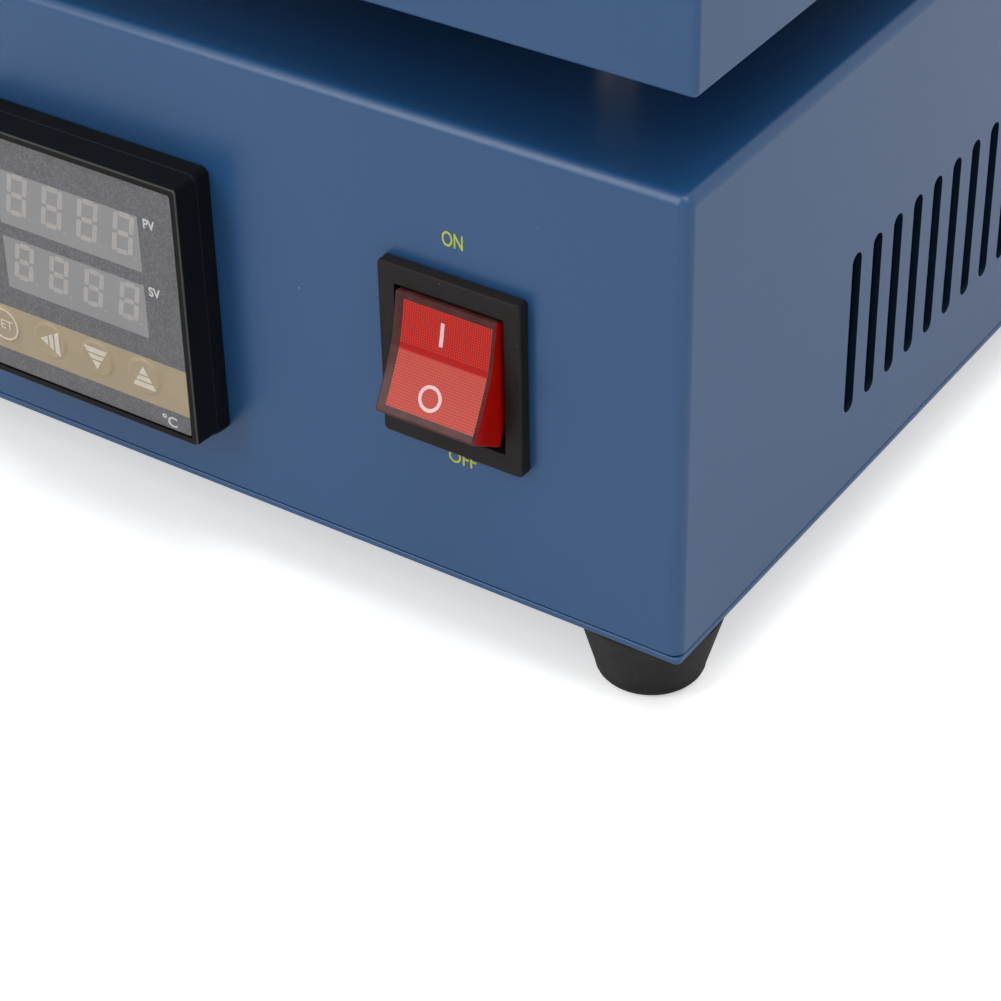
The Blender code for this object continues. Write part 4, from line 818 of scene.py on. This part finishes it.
def makeDigits(look):
    bar, gap = look["bar"], look["gap"]
    for name, (lastX, rowZ, width, height) in look["rows"].items():
        parts, dots = [], []
        for number in range(4):
            x0 = controllerX + lastX - number * look["pitch"]
            z0 = controllerZ + rowZ
            half, reach = height / 2, width / 2
            flat = [(0, row * (half - bar / 2), 2 * reach - 2 * bar - gap, bar) for row in (-1, 0, 1)]
            tall = [(side * (reach - bar / 2), row * (half / 2), bar, half - bar / 2 - gap)
                    for side in (-1, 1) for row in (-1, 1)]
            for across, rise, wide, high in flat + tall:
                segment = newPanel((across, rise), wide, high, 0.28 * mm, -look["proud"], 0, 3)
                lean = Matrix.Identity(4)
                lean[0][2] = math.tan(look["lean"])
                bmesh.ops.transform(segment, matrix=lean, verts=segment.verts)
                bmesh.ops.translate(segment, vec=(x0, lensY, z0), verts=segment.verts)
                parts.append(segment)
            dots.append(newRod(look["dot"], lensY - look["proud"], lensY,
                               (x0 + reach - look["lean"] * half + look["dotGap"] - gap, z0 - half), 1, 20))
        addPiece(f"{name}_digits", joined(parts), inks["ghostSegment"], weighted=False)
        addPiece(f"{name}_dots", joined(dots), inks["ghostDot"], weighted=False)


makeDigits(digits)

filmWords = {"pv": ("PV", (17.7, 15.8), (2.3, 1.75)), "sv": ("SV", (17.5, 3.3), (2.3, 1.75)),
             "unit": ("°C", (18.1, -20.9), (3.0, 2.1))}


def makeFilmWords(table):
    for name, (words, centre, size) in table.items():
        bm = lettering(words, (controllerX + centre[0] * mm, controllerZ + centre[1] * mm),
                       (size[0] * mm, size[1] * mm), lensY, bold=0.022)
        addPiece(f"film_word_{name}", bm, inks["inkWhite"], weighted=False)


makeFilmWords(filmWords)

key = {"iconSize": 4.8 * mm, "iconTall": 0.86, "iconGap": 0.30 * mm, "iconCuts": (0.28, 0.56),
       "ringRadius": 3.05 * mm, "ringWidth": 0.32 * mm, "wordSize": (3.9 * mm, 1.7 * mm),
       "ink": 0.08 * mm, "sunk": 0.06 * mm,
       "crown": [  # radius, depth under the ring's crest
           (0.0, 0.06 * mm), (2.58 * mm, 0.06 * mm), (2.72 * mm, 0.045 * mm), (2.84 * mm, 0.01 * mm),
           (2.95 * mm, 0.0), (3.08 * mm, 0.03 * mm), (3.24 * mm, 0.13 * mm), (3.42 * mm, 0.24 * mm),
           (3.60 * mm, 0.28 * mm), (3.77 * mm, 0.29 * mm)]}


def makeKeys(look):
    for name in ("key_up", "key_down", "key_shift", "key_set"):
        body = name.split("_")[1] + "_key"
        low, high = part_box(name)
        x, z = (low.x + high.x) / 2, (low.z + high.z) / 2
        depth = high.y - low.y
        crown = [(radius, depth - under) for radius, under in look["crown"]]
        bm = lathe([(0, 0), (crown[-1][0], 0), *reversed(crown)], (x, high.y, z), "Y", 48)
        addPiece(f"{name}_cap", bm, finishes["key_film"], body, standsFor=name, angle=50)
        top = low.y + look["sunk"]
        if name == "key_set":
            ring = flatRing(look["ringRadius"], look["ringWidth"], look["ink"], 48)
            bmesh.ops.rotate(ring, verts=ring.verts, cent=(0, 0, 0), matrix=Matrix.Rotation(math.pi / 2, 3, "X"))
            bmesh.ops.translate(ring, vec=(x, top, z), verts=ring.verts)
            icon = joined([ring, lettering("SET", (x, z), look["wordSize"], top, look["ink"])])
        else:
            turn = {"key_up": 0, "key_shift": math.pi / 2, "key_down": math.pi}[name]
            icon = arrowIcon(look, turn)
            bmesh.ops.translate(icon, vec=(x, top, z), verts=icon.verts)
        addPiece(f"{name}_icon", icon, inks["inkCream"], body, weighted=False)


def arrowIcon(look, turn):  # a triangle with two thin slices taken out
    size = look["iconSize"]
    tall = size * look["iconTall"]
    bm = bmesh.new()
    bmesh.ops.create_circle(bm, cap_ends=True, segments=3, radius=1.0)
    low = min(vert.co.y for vert in bm.verts)
    high = max(vert.co.y for vert in bm.verts)
    wide = max(vert.co.x for vert in bm.verts) - min(vert.co.x for vert in bm.verts)
    bmesh.ops.translate(bm, vec=(0, -(low + high) / 2, 0), verts=bm.verts)
    bmesh.ops.scale(bm, vec=(size / wide, tall / (high - low), 1), verts=bm.verts)
    solid = bmesh.ops.extrude_face_region(bm, geom=bm.faces[:])
    bmesh.ops.translate(bm, vec=(0, 0, look["ink"]),
                        verts=[item for item in solid["geom"] if isinstance(item, bmesh.types.BMVert)])
    slices = []
    for share in look["iconCuts"]:
        height = -tall / 2 + share * tall
        gap = look["iconGap"] / 2
        slices.append(newBox((-size, height - gap, -mm), (size, height + gap, mm)))
    bm = cutAway(bm, joined(slices))
    bmesh.ops.rotate(bm, verts=bm.verts, cent=(0, 0, 0), matrix=Matrix.Rotation(turn, 3, "Z"))
    bmesh.ops.rotate(bm, verts=bm.verts, cent=(0, 0, 0), matrix=Matrix.Rotation(math.pi / 2, 3, "X"))
    return bm


makeKeys(key)
print("controller made")

# ---- rocker ----

rocker = {"width": 18.1 * mm, "halfLength": 9.6 * mm, "rise": 7.7 * mm,
          "valley": 1.3 * mm, "valleyUp": 1.2 * mm,
          "dish": 0.15 * mm, "heel": 0.6 * mm, "heelReach": 11.4 * mm, "web": 4.2 * mm, "hub": 3.2 * mm,
          "tilt": math.radians(20.1), "pivotBack": 1.0 * mm,
          "pinRadius": 1.4 * mm, "pinLength": 20.3 * mm, "edge": 0.35 * mm,
          "left": 1.7 * mm, "right": 0.55 * mm, "ends": 1.05 * mm, "lowEnd": 1.4 * mm, "valleyBand": 0.5 * mm}


def rockerOut(up):  # how far the face stands out from the pivot, before the tilt
    start = rocker["valleyUp"]
    end = math.copysign(rocker["halfLength"], up - start)
    share = min(1.0, (up - start) / (end - start))
    return rocker["rise"] - rocker["valley"] * (1 - share) - 4 * rocker["dish"] * share * (1 - share)


def spread(start, end, steps):
    return [start + (end - start) * step / steps for step in range(steps + 1)]


def tilted(out, up):  # (out, up) on the rocker to (y, z) at rest
    turn = rocker["tilt"]
    y = frontY + rocker["pivotBack"] - (out * math.cos(turn) - up * math.sin(turn))
    return y, switchZ + out * math.sin(turn) + up * math.cos(turn)


def makeRocker(look):
    reach = look["halfLength"]
    valley, band = look["valleyUp"], look["valleyBand"]
    top, bottom = reach - look["ends"], look["lowEnd"] - reach
    faceUps = [reach, *spread(top, valley + band, 4), valley, *spread(valley - band, bottom, 4), -reach]
    outline = [(rockerOut(up), up) for up in faceUps]
    outline += [(-look["heel"], -look["heelReach"]), (-look["heel"], -look["web"]), (-look["hub"], -look["hub"]),
                (-look["hub"], look["hub"]), (-look["heel"], look["web"]), (-look["heel"], look["heelReach"])]
    bm = bmesh.new()
    half = look["width"] / 2
    verts = [bm.verts.new((switchX - half, *tilted(out, up))) for out, up in outline]
    side = bm.faces.new(verts)
    grown = bmesh.ops.extrude_face_region(bm, geom=[side])
    bmesh.ops.translate(bm, vec=(look["width"], 0, 0),
                        verts=[item for item in grown["geom"] if isinstance(item, bmesh.types.BMVert)])
    bmesh.ops.recalc_face_normals(bm, faces=bm.faces)
    for offset in (-half + look["left"], half - look["right"]):
        bmesh.ops.bisect_plane(bm, geom=bm.verts[:] + bm.edges[:] + bm.faces[:], dist=weld,
                               plane_co=(switchX + offset, 0, 0), plane_no=(1, 0, 0))
    away = Vector((0, -math.cos(look["tilt"]), math.sin(look["tilt"])))
    upward = Vector((0, math.sin(look["tilt"]), math.cos(look["tilt"])))
    for face in bm.faces:
        # painted shade: the end walls and the left side wall get the dark smoky colour, standing in for the shade
        # in the switch mouth
        if abs(face.normal.dot(upward)) > 0.8 or face.normal.x < -0.8:
            face.material_index = 2
        if face.normal.dot(away) < 0.8:
            continue
        centre = face.calc_center_median()
        across = centre.x - switchX
        turn = look["tilt"]
        y, z = centre.y - frontY - look["pivotBack"], centre.z - switchZ
        up = y * math.sin(turn) + z * math.cos(turn)
        inWindow = -half + look["left"] < across < half - look["right"] and bottom < up < top
        window = 4 if abs(up - valley) < band else (1 if up > valley else 3)
        face.material_index = window if inWindow else 2
    roundOff(bm, look["edge"], 3, keen(35))
    pin = newRod(look["pinRadius"], switchX - look["pinLength"] / 2, switchX + look["pinLength"] / 2,
                 (frontY + look["pivotBack"], switchZ), 0, 32)
    bm = joined([bm, pin])
    layers = [finishes["red_plastic"], upperGrid, inks["smokyEdgeAndShade"], lowerGrid, valleyGrid]
    return addPiece("switch_rocker_red", bm, layers, "rocker",
                    standsFor="switch_rocker", angle=30)


makeRocker(rocker)

legend = {"barUp": 4.9 * mm, "barLength": 3.8 * mm, "barWidth": 0.66 * mm, "ringUp": -5.1 * mm,
          "across": -0.15 * mm,
          "ringRadius": 2.05 * mm, "ringWidth": 0.55 * mm, "proud": 0.025 * mm}


def ontoRocker(bm, centreUp, proud):  # flat shape in (x, up) laid on the rocker's face
    for vert in bm.verts:
        up = centreUp + vert.co.y
        y, z = tilted(rockerOut(up) + (proud if vert.co.z > 0.5 * proud else -proud), up)
        vert.co = (switchX + legend["across"] + vert.co.x, y, z)
    return bm


def makeLegend(look):
    proud = look["proud"]
    half, tall = look["barWidth"] / 2, look["barLength"] / 2
    bar = newBox((-half, -tall, 0), (half, tall, proud))
    bmesh.ops.subdivide_edges(bar, edges=[edge for edge in bar.edges if along(1)(edge)], cuts=4)
    ring = flatRing(look["ringRadius"], look["ringWidth"], proud, 56)
    shapes = [ontoRocker(bar, look["barUp"], proud), ontoRocker(ring, look["ringUp"], proud)]
    return addPiece("rocker_legend", joined(shapes), inks["inkPink"], "rocker", weighted=False)


makeLegend(legend)

panelWords = {"on": ("ON", (-0.35, 21.4), (3.7, 2.6)), "off": ("OFF", (0.35, -17.65), (5.1, 2.4))}


def makePanelWords(table):
    for name, (words, offset, size) in table.items():
        bm = lettering(words, (switchX + offset[0] * mm, switchZ + offset[1] * mm), (size[0] * mm, size[1] * mm),
                       frontY, bold=0.008)
        addPiece(f"panel_word_{name}", bm, inks["inkYellow"], weighted=False)


makePanelWords(panelWords)
print("switch made")

# ---- CAD nodes that keep their own shape ----

def dressNodes():
    slotOf = {item["node"]: item["material_slot"] for item in frame["record"]["subparts"]}
    for name, node in frame["nodes"].items():
        for place in node.material_slots:
            place.material = finishes[slotOf[name]]


dressNodes()
